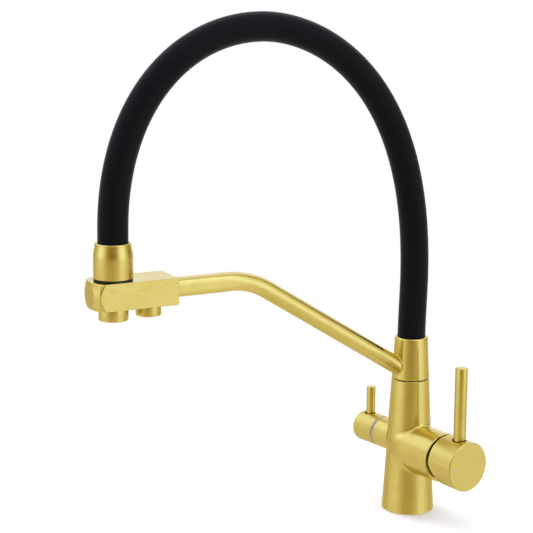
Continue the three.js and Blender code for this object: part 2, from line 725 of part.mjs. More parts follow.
// Journal outline: two ring grooves, the filtered water gallery between them, the circlip groove.
const grooves = [
  [bodyTop + lowerRingRise, ringWidth / 2 + fit, ringGroove],
  [galleryAt, galleryWidth / 2, galleryDepth],
  [bodyTop + upperRingRise, ringWidth / 2 + fit, ringGroove],
  [circlipAt, circlipThickness / 2 + fit, circlipReach + fit],
];
const journal = grooves.flatMap(([middle, half, depth]) => [
  [journalRadius, middle - half], [journalRadius - depth, middle - half],
  [journalRadius - depth, middle + half], [journalRadius, middle + half],
]);
const spigot = turned([
  [waterwayRadius, spigotFloor + fit], [spigotRadius, spigotFloor + fit], [spigotRadius, collarBottom],
  [journalRadius, collarBottom], ...journal, [journalRadius, journalTop], [waterwayRadius, journalTop],
]);
// Filtered water climbs beside the main waterway and leaves into the gallery.
const filterRiser = moved(rod(valvePortRadius, spigotFloor - past, galleryAt), -filterRiserBack, 0, 0)
  .add(moved(alongMinusX(rod(valvePortRadius, filterRiserBack, journalRadius + past)), 0, 0, galleryAt));
add(tap, 'swivel_spigot', spigot.subtract(filterRiser), plainBrass());

for (const [name, rise] of [['swivel_ring_lower', lowerRingRise], ['swivel_ring_upper', upperRingRise]]) {
  add(tap, name, sealRing(journalRadius - ringGroove + fit, journalRadius, bodyTop + rise, ringWidth),
    blackRubber());
}
add(tap, 'slip_ring', tube(slipRingRadius - slipRingWidth / 2, slipRingRadius + slipRingWidth / 2,
  collarBottom - fit - slipRingThickness, collarBottom - fit), blackPlastic());
const circlipGap = block([0, -circlipReach, circlipAt - past],
  [2 * journalRadius, circlipReach, circlipAt + past]);
add(spout, 'collar_circlip', tube(journalRadius - circlipReach, hoseSocket - fit,
  circlipAt - circlipThickness / 2,
  circlipAt + circlipThickness / 2).subtract(circlipGap), steel());

// ---------------------------------------------------------------------------- arm route

// The arm leaves the column axis at its root height and climbs to the level outer run.
const climb = rad(armClimb);
const cornerReach = (armOuterHeight - armRootHeight) / Math.tan(climb);
const bendCut = armBendRadius * Math.tan(climb / 2);
const onClimb = (reach) => new THREE.Vector3(0, -reach, armRootHeight + reach * Math.tan(climb));
const level = (reach) => new THREE.Vector3(0, -reach, armOuterHeight);
const bendStart = onClimb(cornerReach - bendCut * Math.cos(climb));
const bendEnd = level(cornerReach + bendCut);
const bendHandle = (4 / 3) * Math.tan(climb / 4) * armBendRadius;
const climbWay = new THREE.Vector3(0, -Math.cos(climb), Math.sin(climb));
const levelWay = new THREE.Vector3(0, -1, 0);
const armEnd = blockRear + armSocketDepth - fit;
const armPath = new THREE.CurvePath();
armPath.add(new THREE.LineCurve3(onClimb(collarBore / 2), bendStart));
armPath.add(new THREE.CubicBezierCurve3(bendStart,
  bendStart.clone().addScaledVector(climbWay, bendHandle),
  bendEnd.clone().addScaledVector(levelWay, -bendHandle), bendEnd));
armPath.add(new THREE.LineCurve3(bendEnd, level(blockRear - fit)));

// The arm's root stops short of the collar's bore, in a socket of its own.
const rootLimit = collarBore + armWebInCollar;
const rootCutter = rod(rootLimit + fit, armRootHeight - 4 * armRadius, armRootHeight + 6 * armRadius,
  large);

// The outline's power grows from that of a circle along the end of the bend.
const sideways = new THREE.Vector3(1, 0, 0);
const armPower = (reach) => 2 + (armSquareness - 2) * THREE.MathUtils.smoothstep(reach,
  -bendEnd.y - armSquareBefore, -bendEnd.y + armSquareAfter);

// A ring of points round the arm's path, square to it, at a share of the path's length.
function armRing(share, radius, sides, powerAt) {
  const middle = armPath.getPointAt(share);
  const upwards = armPath.getTangentAt(share).cross(sideways);
  const bend = (value, power) => Math.sign(value) * Math.abs(value) ** (2 / power);
  return Array.from({ length: sides }, (_, i) => {
    const angle = (i * 2 * Math.PI) / sides;
    const power = powerAt(-middle.y);
    return middle.clone().addScaledVector(sideways, radius * bend(Math.cos(angle), power))
      .addScaledVector(upwards, radius * bend(Math.sin(angle), power));
  });
}
const armRings = (radius, sides, powerAt) => Array.from({ length: armSteps + 1 }, (_, i) =>
  armRing(i / armSteps, radius, sides, powerAt));

// A round spigot at the tube's end plugs into the block, and a round bore runs all the way.
const armSpigotRadius = armRadius - armSpigotStep;
const armBoreRadius = armRadius - armWall;
const armBore = lofted(armRings(armBoreRadius, small, () => 2))
  .add(moved(alongMinusY(rod(armBoreRadius, blockRear - past, armEnd + past)), 0, 0, armOuterHeight))
  .add(moved(alongMinusY(rod(armBoreRadius, 0, collarBore)).rotate([-armClimb, 0, 0]), 0, 0,
    armRootHeight));
const armTube = lofted(armRings(armRadius, armSides, armPower))
  .add(moved(alongMinusY(rod(armSpigotRadius, blockRear - past, armEnd, medium)), 0, 0,
    armOuterHeight))
  .subtract(armBore).subtract(rootCutter);
add(spout, 'arm_tube', armTube, brushedGold());

// ---------------------------------------------------------------------------- collar

const collarRadiusAt = (z) => seamRadius + ((collarTopRadius - seamRadius)
  * (z - collarBottom)) / (collarTop - collarBottom);
const lip = Array.from({ length: 4 }, (_, i) => {
  const angle = (i * Math.PI) / 6;
  return [collarRadiusAt(collarTop) - lipRound * (1 - Math.cos(angle)),
    collarTop - lipRound * (1 - Math.sin(angle))];
});
const circlipSeat = circlipAt - circlipThickness / 2 - fit;
const armSocket = moved(alongMinusY(rod(armRadius + fit, 0, 4 * armRadius, medium))
  .rotate([-armClimb, 0, 0]), 0, 0, armRootHeight)
  .subtract(rod(rootLimit, armRootHeight - 4 * armRadius, armRootHeight + 6 * armRadius, large));
const armPort = moved(alongMinusY(rod(valvePortRadius, collarBore - past, rootLimit + past)), 0, 0,
  galleryAt);
const collar = turned([
  [collarBore, collarBottom], [seamRadius, collarBottom], ...lip, [hoseSocket, collarTop],
  [hoseSocket, circlipSeat], [collarBore, circlipSeat],
], large).subtract(armSocket).subtract(armPort);
add(spout, 'swivel_collar', collar, brushedGold());

// ---------------------------------------------------------------------------- outlet block

// A bar milled from round stock: the turned end shows at its front.
const barRadius = Math.hypot(blockHalfWidth, blockHeight / 2) + past;
const turnedBar = alongMinusY(turned([
  [0, blockFront], [blockEndDisc, blockFront], [blockHalfWidth, blockFront - blockEndDish],
  [barRadius, blockFront - blockEndDish - blockEndFall * (barRadius - blockHalfWidth)],
  [barRadius, blockRear - past], [0, blockRear - past],
], large));
const nozzleSocket = (radius) => radius - nozzleSpigotStep + fit;
const mainSocket = nozzleSocket(mainNozzleRadius);
const filterSocket = nozzleSocket(filterNozzleRadius);
const socketRoof = blockBottom + nozzleSpigotLength + fit;
const armPlugSocket = moved(alongMinusY(rod(armSpigotRadius + fit, blockRear - past,
  blockRear + armSocketDepth, medium)), 0, 0, armOuterHeight);
const outletBlock = block([-blockHalfWidth, -blockFront - past, blockBottom],
  [blockHalfWidth, -blockRear, blockTop])
  .intersect(moved(turnedBar, 0, 0, armOuterHeight))
  .subtract(moved(rod(mainSocket, blockBottom - past, socketRoof, medium), 0, -spoutReach, 0))
  .subtract(moved(rod(blockPassage, blockBottom, blockTop + past, medium), 0, -spoutReach, 0))
  .subtract(moved(rod(filterSocket, blockBottom - past, socketRoof, medium), 0, -filterNozzleReach, 0))
  .subtract(armPlugSocket)
  .subtract(moved(rod(armBoreRadius, socketRoof - past, armOuterHeight), 0, -filterNozzleReach, 0))
  .subtract(moved(alongMinusY(rod(armBoreRadius, blockRear, filterNozzleReach)), 0, 0,
    armOuterHeight));
add(spout, 'outlet_block', outletBlock, brushedGold());

// ---------------------------------------------------------------------------- nozzles

// A nozzle housing screws up into the block; its aerator sits in the mouth.
function nozzle(radius, drop) {
  const top = blockBottom - fit;
  const bottom = blockBottom - drop;
  const mouth = radius - nozzleWall;
  const spigotHere = radius - nozzleSpigotStep;
  return turned([
    [mouth, bottom], [radius - nozzleRound, bottom],
    [radius - 0.3 * nozzleRound, bottom + 0.3 * nozzleRound],
    [radius, bottom + nozzleRound], [radius, top], [spigotHere, top],
    [spigotHere, blockBottom + nozzleSpigotLength],
    [mouth - nozzleWall, blockBottom + nozzleSpigotLength],
    [mouth - nozzleWall, bottom + aeratorInset + aeratorThickness + fit],
    [mouth, bottom + aeratorInset + aeratorThickness + fit],
  ]);
}
function aerator(radius, drop) {
  const start = blockBottom - drop + aeratorInset;
  const disc = radius - nozzleWall - fit;
  const holes = [];
  for (let reach = aeratorPitch; reach + 2 * aeratorHoleRadius < disc; reach += aeratorPitch) {
    const count = Math.round((6 * reach) / aeratorPitch);
    for (let i = 0; i < count; i++) {
      const angle = (i * 2 * Math.PI) / count;
      holes.push(moved(rod(aeratorHoleRadius, start - past, start + aeratorThickness + past, 6),
        reach * Math.cos(angle),
        reach * Math.sin(angle), 0));
    }
  }
  return holes.reduce((body, hole) => body.subtract(hole),
    rod(disc, start, start + aeratorThickness, medium));
}
const outlets = [
  ['main', mainNozzleRadius, mainNozzleDrop, spoutReach],
  ['filter', filterNozzleRadius, filterNozzleDrop, filterNozzleReach],
];
for (const [name, radius, drop, reach] of outlets) {
  add(spout, `${name}_nozzle`, moved(nozzle(radius, drop), 0, -reach, 0), brushedGold());
  add(spout, `${name}_aerator`, moved(aerator(radius, drop), 0, -reach, 0), blackPlastic());
}

// ---------------------------------------------------------------------------- ferrule

const bossRadius = ferruleRadius - ferruleRingWidth - fit;
const ferruleBore = blockPassage;
const ferrule = turned([
  [ferruleBore, blockTop + fit], [bossRadius, blockTop + fit], [bossRadius, ferruleBottom],
  [ferruleRadius, ferruleBottom],
  [ferruleRadius, ferruleTop - ferruleShoulder],
  [ferruleRadius - 0.25, ferruleTop - 0.8 * ferruleShoulder],
  [ferruleTopRadius + 0.35, ferruleTop - 0.3 * ferruleShoulder],
  [ferruleTopRadius, ferruleTop - lipRound],
  [ferruleTopRadius - 0.3 * lipRound, ferruleTop - 0.3 * lipRound],
  [ferruleTopRadius - lipRound, ferruleTop],
  [hoseSocket, ferruleTop], [hoseSocket, ferruleBottom + ferruleFloor],
  [ferruleBore, ferruleBottom + ferruleFloor],
], large);
add(spout, 'ferrule', moved(ferrule, 0, -spoutReach, 0), brushedGold());
const ferruleRing = sealRing(ferruleRadius - ferruleRingWidth, ferruleRadius,
  blockTop + fit + ferruleRingThickness / 2, ferruleRingThickness, large);
add(spout, 'ferrule_ring', moved(ferruleRing, 0, -spoutReach, 0), blackRubber());

// ---------------------------------------------------------------------------- hose

const onRoute = (reach, height) => new THREE.Vector3(0, -reach, height);
const hosePath = new THREE.CurvePath();
const riseStart = onRoute(0, collarTop);
const riseEnd = onRoute(-hoseBulge, hoseRiseEnd);
const crown = onRoute(crownReach, crownHeight);
const dropStart = onRoute(spoutReach, hoseDropStart);
const riseThird = (hoseRiseEnd - collarTop) / 3;
hosePath.add(new THREE.LineCurve3(onRoute(0, hoseStart), riseStart));
hosePath.add(new THREE.CubicBezierCurve3(riseStart, onRoute(0, collarTop + riseThird),
  onRoute(-hoseBulge, hoseRiseEnd - riseThird), riseEnd));
hosePath.add(new THREE.CubicBezierCurve3(riseEnd, onRoute(-hoseBulge, hoseRiseEnd + riseHandle),
  onRoute(crownReach - crownRearHandle, crownHeight), crown));
hosePath.add(new THREE.CubicBezierCurve3(crown, onRoute(crownReach + crownFrontHandle, crownHeight),
  onRoute(spoutReach, hoseDropStart + dropHandle), dropStart));
hosePath.add(new THREE.LineCurve3(dropStart, onRoute(spoutReach, hoseEnd)));
add(spout, 'hose_sleeve', sweptTube(hosePath, hoseRadius, hoseRadius - sleeveWall, hoseSteps, 16, 8),
  silicone());
add(spout, 'hose_tube', sweptTube(hosePath, tubeRadius, tubeRadius - tubeWall, hoseSteps, 8, 8),
  whitePlastic());

// Fittings: a flange between hose and seat, a barb in the pressure tube and a nose in the waterway.
const barbRadius = tubeRadius - tubeWall - barbSlack;
const fitting = (flangeTop, nose, noseEnd) => turned([
  [fittingBore, noseEnd], [nose, noseEnd], [nose, flangeTop - fittingFlange],
  [hoseRadius, flangeTop - fittingFlange],
  [hoseRadius, flangeTop], [barbRadius, flangeTop], [barbRadius, flangeTop + barbLength],
  [fittingBore, flangeTop + barbLength],
]);
const lowerNose = waterwayRadius - fit;
add(spout, 'hose_fitting_lower', fitting(lowerFlangeTop, lowerNose, hoseSocketFloor - noseLength),
  plainBrass());
add(spout, 'hose_fitting_upper',
  moved(fitting(upperFlangeTop, blockPassage - fit, socketRoof + fit), 0, -spoutReach, 0), plainBrass());

export default tap;
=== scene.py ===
# %% [markdown]
# # A brushed gold kitchen tap
# What is made here is what the eye sees: soft fillets where barrels meet the column, the turned end
# of the outlet block, a silicone hose in one clean arch, and a satin gold finish under plain studio
# light.

# %% Load the frame
import json
from math import cos, pi, radians, sin, tan

import bpy
import numpy as np
from mathutils import Matrix, Vector


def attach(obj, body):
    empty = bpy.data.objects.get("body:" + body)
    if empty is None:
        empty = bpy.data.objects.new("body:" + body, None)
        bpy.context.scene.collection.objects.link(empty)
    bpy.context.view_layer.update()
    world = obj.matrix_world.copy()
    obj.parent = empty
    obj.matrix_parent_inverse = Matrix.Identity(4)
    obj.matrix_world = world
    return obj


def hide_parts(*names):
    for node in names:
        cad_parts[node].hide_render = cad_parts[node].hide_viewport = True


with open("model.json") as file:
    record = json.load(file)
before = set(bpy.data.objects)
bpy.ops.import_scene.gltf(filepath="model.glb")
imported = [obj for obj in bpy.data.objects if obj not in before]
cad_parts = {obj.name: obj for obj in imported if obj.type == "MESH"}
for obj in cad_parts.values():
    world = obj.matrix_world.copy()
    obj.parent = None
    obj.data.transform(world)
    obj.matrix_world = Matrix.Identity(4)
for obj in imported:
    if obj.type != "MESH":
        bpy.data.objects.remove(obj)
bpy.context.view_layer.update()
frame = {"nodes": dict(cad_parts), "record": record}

# %% [markdown]
# ## The camera first
# The photograph was taken from in front of the mixer side and a little above the outlet, with the
# column's edges upright. A level camera with its frame shifted far down would draw them so, but a
# frame shift also moves every other view of the tap off its middle. So this camera tilts down like
# one in the hand, with a small shift that the other views can bear, and stands where the two
# pictures lie closest.

# %% Directions of the camera
VIEW_AZIMUTH, VIEW_TILT, VIEW_ROLL = radians(54.13), radians(9.82), radians(0.45)


def level_ways():
    """Right, and towards the camera, both level, as the camera's turn round the tap gives them."""
    right = np.array([cos(VIEW_AZIMUTH), sin(VIEW_AZIMUTH), 0])
    return right, np.cross(right, (0, 0, 1))


def camera_axes():
    """Right, up and back of a camera that is tilted down and rolled a little."""
    right, front = level_ways()
    back = front * cos(VIEW_TILT) + np.array([0, 0, sin(VIEW_TILT)])
    up = np.cross(back, right)
    rolled_right = right * cos(VIEW_ROLL) + up * sin(VIEW_ROLL)
    rolled_up = up * cos(VIEW_ROLL) - right * sin(VIEW_ROLL)
    return rolled_right, rolled_up, back


print("the camera looks along", (-camera_axes()[2]).round(2).tolist())

# %% [markdown]
# The lens is about three times as long as the sensor is wide, which draws the tap with little
# perspective, as the photograph does. The camera's place is in millimetres, like all sizes here, and
# is turned into Blender's metres where it is used.

# %% Camera
MM = 0.001
CAMERA_PLACE = (1056.8, -929.1, 509.15)
SENSOR, FOCAL_SHARE, FRAME_SHIFT = 36, 2.9446, -0.08
FARTHEST = 50_000


def in_scene(name, data):
    """An object that carries some data, linked to the scene."""
    thing = bpy.data.objects.new(name, data)
    bpy.context.scene.collection.objects.link(thing)
    return thing


lens = bpy.data.cameras.new("photo_lens")
lens.sensor_width = SENSOR
lens.lens = SENSOR * FOCAL_SHARE
lens.shift_y = FRAME_SHIFT
lens.clip_end = FARTHEST * MM
camera = in_scene("photo_camera", lens)
turn = Matrix(np.column_stack(camera_axes()).tolist()).to_4x4()
camera.matrix_world = Matrix.Translation([c * MM for c in CAMERA_PLACE]) @ turn
bpy.context.scene.camera = camera
bpy.context.scene.view_settings.view_transform = "Standard"
print("lens", round(lens.lens, 1), "mm")

# %% [markdown]
# ## Sizes and directions
# All sizes below are millimetres. The mixer barrel points along +X and the filter barrel along -X,
# and the spout is swung a few degrees about the column. Each part is easiest to draw round its own
# axis, so four placements turn a part drawn about Z into its place on the tap.

# %% Placements
SWING = radians(-7.5)
MIXER_HEIGHT, FILTER_HEIGHT = 60, 63


def barrel(side, height):
    """A placement with Z along the barrel on one side of the column, and Y up."""
    return Matrix(((0, 0, side, 0), (side, 0, 0, 0), (0, 1, 0, height), (0, 0, 0, 1)))


UPRIGHT = Matrix.Identity(4)
SPOUT = Matrix.Rotation(SWING, 4, "Z")
MIXER, FILTER = barrel(1, MIXER_HEIGHT), barrel(-1, FILTER_HEIGHT)


def in_spout(reach, height=0):
    """A placement on the spout, at a reach forward of the column axis."""
    return SPOUT @ Matrix.Translation((0, -reach, height))


def placed(points, placement):
    """Moves an array of points by a placement."""
    turned = np.array(placement.to_3x3())
    return np.asarray(points, dtype=float) @ turned.T + np.array(placement.translation)


print("a point 100 mm out on the spout:", placed([(0, -100, 0)], SPOUT).round(1).tolist())

# %% [markdown]
# ## From points to a finished piece
# Every piece ends as a plain closed mesh at the origin, in metres, shaded smooth except over real
# edges. One small function does that for all of them, and another gives the piece its finish and
# its body and hides the part of the frame that it stands for.

# %% Finish a piece
SHARP_OVER = radians(32)


def smooth_piece(name, mesh):
    """An object for a mesh, shaded smooth except over its real edges."""
    mesh.shade_smooth()
    mesh.set_sharp_from_angle(angle=SHARP_OVER)
    return in_scene(name, mesh)


def new_piece(name, points, faces, placement=UPRIGHT):
    """Makes a piece from points in millimetres and lists of corner numbers."""
    mesh = bpy.data.meshes.new(name)
    mesh.from_pydata((placed(points, placement) * MM).tolist(), [], [list(map(int, f)) for f in faces])
    mesh.validate()
    return smooth_piece(name, mesh)


def fit_to_frame(piece, body, slot, material, *nodes):
    """Gives a piece its finish and its body, and hides the frame nodes that it stands for."""
    piece.data.materials.clear()
    piece.data.materials.append(material)
    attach(piece, body)
    if nodes:
        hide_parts(*nodes)
    print(f"{piece.name}: {len(piece.data.polygons)} faces, rides on {body}")


# %% [markdown]
# ## Turned pieces
# Levers, nozzles, rings and the ferrule were cut on a lathe, so they are drawn as half outlines
# that spin round an axis. No machined edge is truly sharp: each corner of an outline can be given a
# small round, and it is that round that catches the studio lights.

# %% Outlines with rounded corners
ROUND_STEPS = 4
ROUND_AT_MOST = 0.45


def rounded(outline):
    """Replaces each (radius, height, round) corner of a closed outline by a short arc."""
    corners = [np.array(corner[:2], dtype=float) for corner in outline]
    result = []
    for i, corner in enumerate(corners):
        back, ahead = corners[i - 1] - corner, corners[(i + 1) % len(corners)] - corner
        back_length, ahead_length = np.linalg.norm(back), np.linalg.norm(ahead)
        wanted = outline[i][2] if len(outline[i]) > 2 else 0
        size = min(wanted, ROUND_AT_MOST * back_length, ROUND_AT_MOST * ahead_length)
        if size <= 0:
            result.append(corner)
            continue
        start = corner + back / back_length * size
        end = corner + ahead / ahead_length * size
        for t in np.linspace(0, 1, ROUND_STEPS + 1):
            result.append(start * (1 - t) ** 2 + corner * 2 * t * (1 - t) + end * t**2)
    return result


print("a square with one rounded corner:", len(rounded([(0, 0), (9, 0, 2), (9, 9), (0, 9)])), "points")

# %% [markdown]
# The spinning itself could be left to a Screw modifier, but that leaves a stack of doubled points
# wherever an outline meets the axis. Built here, a point on the axis stays one point, and the mesh is
# closed from the start.

# %% Lathe
ON_AXIS, SIDES = 1e-6, 96


def turned_piece(name, outline, placement=UPRIGHT):
    """Spins a closed half outline round Z; a point on the axis stays one point."""
    line = rounded(outline)
    angles = np.arange(SIDES) * 2 * pi / SIDES
    points, faces, rings = [], [], []
    for radius, height in line:
        wide = int(radius > ON_AXIS)
        rings.append((len(points), wide))
        points += [(radius * cos(a), radius * sin(a), height) for a in (angles if wide else angles[:1])]
    for i, (here, wide_here) in enumerate(rings):
        there, wide_there = rings[(i + 1) % len(rings)]
        for k in range(SIDES if wide_here or wide_there else 0):
            m = (k + 1) % SIDES
            corners = (here + k * wide_here, here + m * wide_here,
                       there + m * wide_there, there + k * wide_there)
            faces.append(tuple(dict.fromkeys(corners)))
    return new_piece(name, points, faces, placement)


print("the lathe makes", SIDES, "sides, each", 360 / SIDES, "degrees")


# %% [markdown]
# ## Cast and milled pieces as distance fields
# The column, collar, cap, knob and outlet block join or cut round and flat forms. A distance field
# says how far any point is from the surface, negative inside. Two fields can then be joined with a
# fillet of any size, cut, or met in a small bevel, which is what a machinist does to real edges.

# %% Field arithmetic
def joined(a, b, fillet):
    """Union of two fields, with a fillet in the corner between them."""
    inner = np.hypot(np.maximum(fillet - a, 0), np.maximum(fillet - b, 0))
    return np.maximum(fillet, np.minimum(a, b)) - inner


def rounded_meet(a, b, radius):
    """What two fields share, with the edge between them rounded."""
    return -joined(-a, -b, radius)


def bevelled(a, b, width):
    """What two fields share, with a flat bevel on the edge between them."""
    return np.maximum(np.maximum(a, b), (a + b + width) / np.sqrt(2))


def rod(across_a, across_b, along, radius, low, high, bevel=0.0):
    """A cylinder: two coordinates across it, one along it, its radius, its ends and their bevel."""
    return bevelled(np.hypot(across_a, across_b) - radius, np.maximum(low - along, along - high), bevel)


def without(body, *holes):
    """A field with others taken away."""
    for hole in holes:
        body = np.maximum(body, -hole)
    return body


print("a 2 mm fillet fills its corner by", round(-float(joined(0, 0, 2)), 2), "mm")

# %% [markdown]
# ## From a field to a mesh
# The surface is lifted out of a grid with one vertex in each cell that it crosses. Wherever a grid
# edge meets the surface, the surface's slope there gives a plane, and the vertex is put where the
# cell's planes meet. On a round form that is a point of the form; on an edge or a corner it is the
# edge itself, so bevels stay crisp and fillets stay smooth.

# %% Slopes, crossings and meeting points
SLOPE_STEP, HALVINGS, SOFTNESS, TINY = 0.004, 12, 0.03, 1e-12


def slope(field, points):
    """Direction in which a field grows, at each point."""
    shifts = np.eye(3) * SLOPE_STEP
    rise = np.stack([field(*(points + s).T) - field(*(points - s).T) for s in shifts], axis=1)
    return rise / np.maximum(np.linalg.norm(rise, axis=1, keepdims=True), TINY)


def crossing_points(field, axes, inside, where, d):
    """Where the surface crosses grid edges along axis d, found by repeated halving."""
    low = np.stack([axes[k][where[:, k]] for k in range(3)], axis=1)
    high = low.copy()
    high[:, d] = axes[d][where[:, d] + 1]
    starts_inside = inside[tuple(where.T)]
    for _ in range(HALVINGS):
        middle = (low + high) / 2
        keep_low = (field(*middle.T) < 0) == starts_inside
        low = np.where(keep_low[:, None], middle, low)
        high = np.where(keep_low[:, None], high, middle)
    return (low + high) / 2


def meeting_points(planes, offsets, place_sums, count, cell):
    """Where each cell's planes meet, or nearest to its middle where they leave a choice."""
    middle = place_sums / count[:, None]
    gap = offsets - np.einsum("nij,nj->ni", planes, middle)
    move = np.linalg.solve(planes + SOFTNESS * np.eye(3), gap[:, :, None])[:, :, 0]
    return middle + np.clip(move, -cell, cell)


growth = slope(lambda x, y, z: np.hypot(x, y) - 1, np.array([[3.0, 4.0, 0.0]]))
print("a rod's field grows at (3, 4) towards", growth.round(2).tolist())

# %% [markdown]
# Each grid edge that the surface crosses gives one quad between the four cells round that edge, and
# adds its plane to them. A voxel remesh would also close the shape, but it rounds every edge off by
# about a cell, and these edges have to stay sharper than that.

# %% Cells that the surface crosses
def crossed_cells(inside):
    """A number for each cell that has corners on both sides of the surface, else -1."""
    halves = slice(None, -1), slice(1, None)
    corners = [inside[i, j, k] for i in halves for j in halves for k in halves]
    mixed = np.logical_or.reduce(corners) & ~np.logical_and.reduce(corners)
    number = np.full(mixed.shape, -1)
    number[mixed] = np.arange(mixed.sum())
    return number


half_solid = np.zeros((4, 4, 4), dtype=bool)
half_solid[:2] = True
print("a flat face through 3 by 3 by 3 cells crosses", crossed_cells(half_solid).max() + 1)

# %% [markdown]
# The whole surface is then a sum over the three directions of grid edges. The grid starts an uneven
# part of a cell outside the piece, so that no flat face lies exactly on a plane of the grid.

# %% Surface from a field
GRID_BEFORE, GRID_AFTER = 1.37, 2.6


def field_surface(field, low, high, cell):
    """The zero surface of a field: one vertex a cell, joined by quads that face out."""
    axes = [np.arange(a - GRID_BEFORE * cell, b + GRID_AFTER * cell, cell) for a, b in zip(low, high)]
    inside = field(*np.meshgrid(*axes, indexing="ij", sparse=True)) < 0
    number = crossed_cells(inside)
    sums = [np.zeros((number.max() + 1, *shape)) for shape in ((3, 3), (3,), (3,), ())]
    faces = []
    for d in range(3):
        u, v = (d + 1) % 3, (d + 2) % 3
        first, second = [slice(1, -1)] * 3, [slice(1, -1)] * 3
        first[d], second[d] = slice(None, -1), slice(1, None)
        where = np.argwhere(inside[tuple(first)] != inside[tuple(second)])
        where[:, [u, v]] += 1
        points = crossing_points(field, axes, inside, where, d)
        normals = slope(field, points)
        parts = (normals[:, :, None] * normals[:, None, :],
                 normals * (normals * points).sum(axis=1, keepdims=True), points, 1)
        around = []
        for du, dv in ((-1, -1), (0, -1), (0, 0), (-1, 0)):
            index = where.copy()
            index[:, u] += du
            index[:, v] += dv
            around.append(number[tuple(index.T)])
            for total, part in zip(sums, parts):
                np.add.at(total, around[-1], part)
        quads = np.stack(around, axis=1)
        leaving = inside[tuple(where.T)]
        faces.append(np.where(leaving[:, None], quads, quads[:, ::-1]))
    return meeting_points(*sums, cell), np.concatenate(faces)


def field_piece(name, field, low, high, cell, placement=UPRIGHT):
    """A piece whose surface is where its field is zero."""
    return new_piece(name, *field_surface(field, low, high, cell), placement)


ball, _ = field_surface(lambda x, y, z: np.sqrt(x**2 + y**2 + z**2) - 5, (-5,) * 3, (5,) * 3, 1)
print("a 5 mm ball comes out within", round(float(np.ptp(np.linalg.norm(ball, axis=1))), 3), "mm")

# %% [markdown]
# ## Nodes in few words
# Finishes, sweeps and the studio are all node trees. A node is added, set, and then each of its
# inputs is given either a value or a link from another node. Four small helpers say that in one
# line each, and a fifth makes a tree with named sockets, so that it can be used again.

# %% Node helpers
def feed(tree, node, inputs):
    """Feeds a node's inputs by values or by other nodes' outputs."""
    for socket, value in dict(inputs).items():
        if isinstance(value, bpy.types.NodeSocket):
            tree.links.new(value, node.inputs[socket])
        else:
            node.inputs[socket].default_value = value


def add_node(tree, kind, inputs=(), **settings):
    """A new node with its settings, and its inputs fed."""
    node = tree.nodes.new(kind)
    for setting, value in settings.items():
        setattr(node, setting, value)
    feed(tree, node, inputs)
    return node


def maths(tree, operation, *values):
    """The result of a maths node."""
    return add_node(tree, "ShaderNodeMath", enumerate(values), operation=operation).outputs["Value"]


def vector_maths(tree, operation, *values):
    """The result of a vector maths node, which for a dot product is a number."""
    node = add_node(tree, "ShaderNodeVectorMath", enumerate(values), operation=operation)
    return node.outputs["Value" if operation == "DOT_PRODUCT" else "Vector"]


def new_tree(name, kind, inputs, outputs):
    """A tree with named sockets: the tree, its start, its end and its inputs' identifiers."""
    tree = bpy.data.node_groups.new(name, kind)
    keys = {}
    for socket, holds, value in inputs:
        made = tree.interface.new_socket(name=socket, in_out="INPUT", socket_type="NodeSocket" + holds)
        if value is not None:
            made.default_value = value
        keys[socket] = made.identifier
    for socket, holds in outputs:
        tree.interface.new_socket(name=socket, in_out="OUTPUT", socket_type="NodeSocket" + holds)
    return tree, tree.nodes.new("NodeGroupInput"), tree.nodes.new("NodeGroupOutput"), keys


print("node helpers ready, no tree yet:", len(bpy.data.node_groups))

# %% [markdown]
# ## One grain for all brushed metal
# Brushing leaves long fine scratches in one direction. A noise that is stretched along the brushing
# and squeezed across it gives them, and a second, slow noise gives the faint clouds that a hand
# leaves. The group is built once, and each material feeds it a scale for its own brushing direction.

# %% Grain group
GRAIN_CLOUDS = 60.0


def brushed_grain_group():
    """Fine scratches and slow clouds, from coordinates and a scale for each direction."""
    group, start, end, _ = new_tree(
        "brushed grain", "ShaderNodeTree",
        [("Vector", "Vector", None), ("Scale", "Vector", (1, 1, 1)), ("Clouds", "Float", GRAIN_CLOUDS)],
        [("Scratches", "Float"), ("Clouds", "Float")])
    where, scale, clouds = (start.outputs[name] for name in ("Vector", "Scale", "Clouds"))
    stretched = vector_maths(group, "MULTIPLY", where, scale)
    fine = add_node(group, "ShaderNodeTexNoise",
                    {"Vector": stretched, "Scale": 1, "Detail": 3, "Roughness": 0.65})
    slow = add_node(group, "ShaderNodeTexNoise", {"Vector": where, "Scale": clouds, "Detail": 2})
    feed(group, end, {"Scratches": fine.outputs["Fac"], "Clouds": slow.outputs["Fac"]})
    return group


GRAIN = brushed_grain_group()
print("grain group:", len(GRAIN.nodes), "nodes")

# %% [markdown]
# ## What every finish is made of
# A finish is a Principled shader whose colour, gloss and normal change a little over the surface.
# A noise lies mostly between a quarter and three quarters, so it is spread from there onto the range
# that is wanted. Bump is enough for scratches, because they are far too fine to model.

# %% Material helpers
NOISE_LOW, NOISE_HIGH = 0.25, 0.75


def new_material(name):
    """A material with an empty Principled shader, and its node tree."""
    material = bpy.data.materials.new(name)
    material.use_nodes = True
    return material, material.node_tree, material.node_tree.nodes["Principled BSDF"]


def grain_on(tree, scale, clouds=GRAIN_CLOUDS):
    """The grain's scratches and clouds, in the object's own coordinates."""
    where = add_node(tree, "ShaderNodeTexCoord").outputs["Object"]
    grain = add_node(tree, "ShaderNodeGroup", node_tree=GRAIN)
    feed(tree, grain, {"Vector": where, "Scale": scale, "Clouds": clouds})
    return grain.outputs["Scratches"], grain.outputs["Clouds"]


def ramp(tree, noise, low, high):
    """Spreads a noise onto a range."""
    return add_node(tree, "ShaderNodeMapRange", {
        "Value": noise, "From Min": NOISE_LOW, "From Max": NOISE_HIGH, "To Min": low, "To Max": high,
    }).outputs["Result"]


def blend(tree, share, first, second):
    """Mixes two colours, or two nodes' colours, by a changing share."""
    return add_node(tree, "ShaderNodeMix", {"Factor": share, "A": first, "B": second},
                    data_type="RGBA").outputs["Result"]


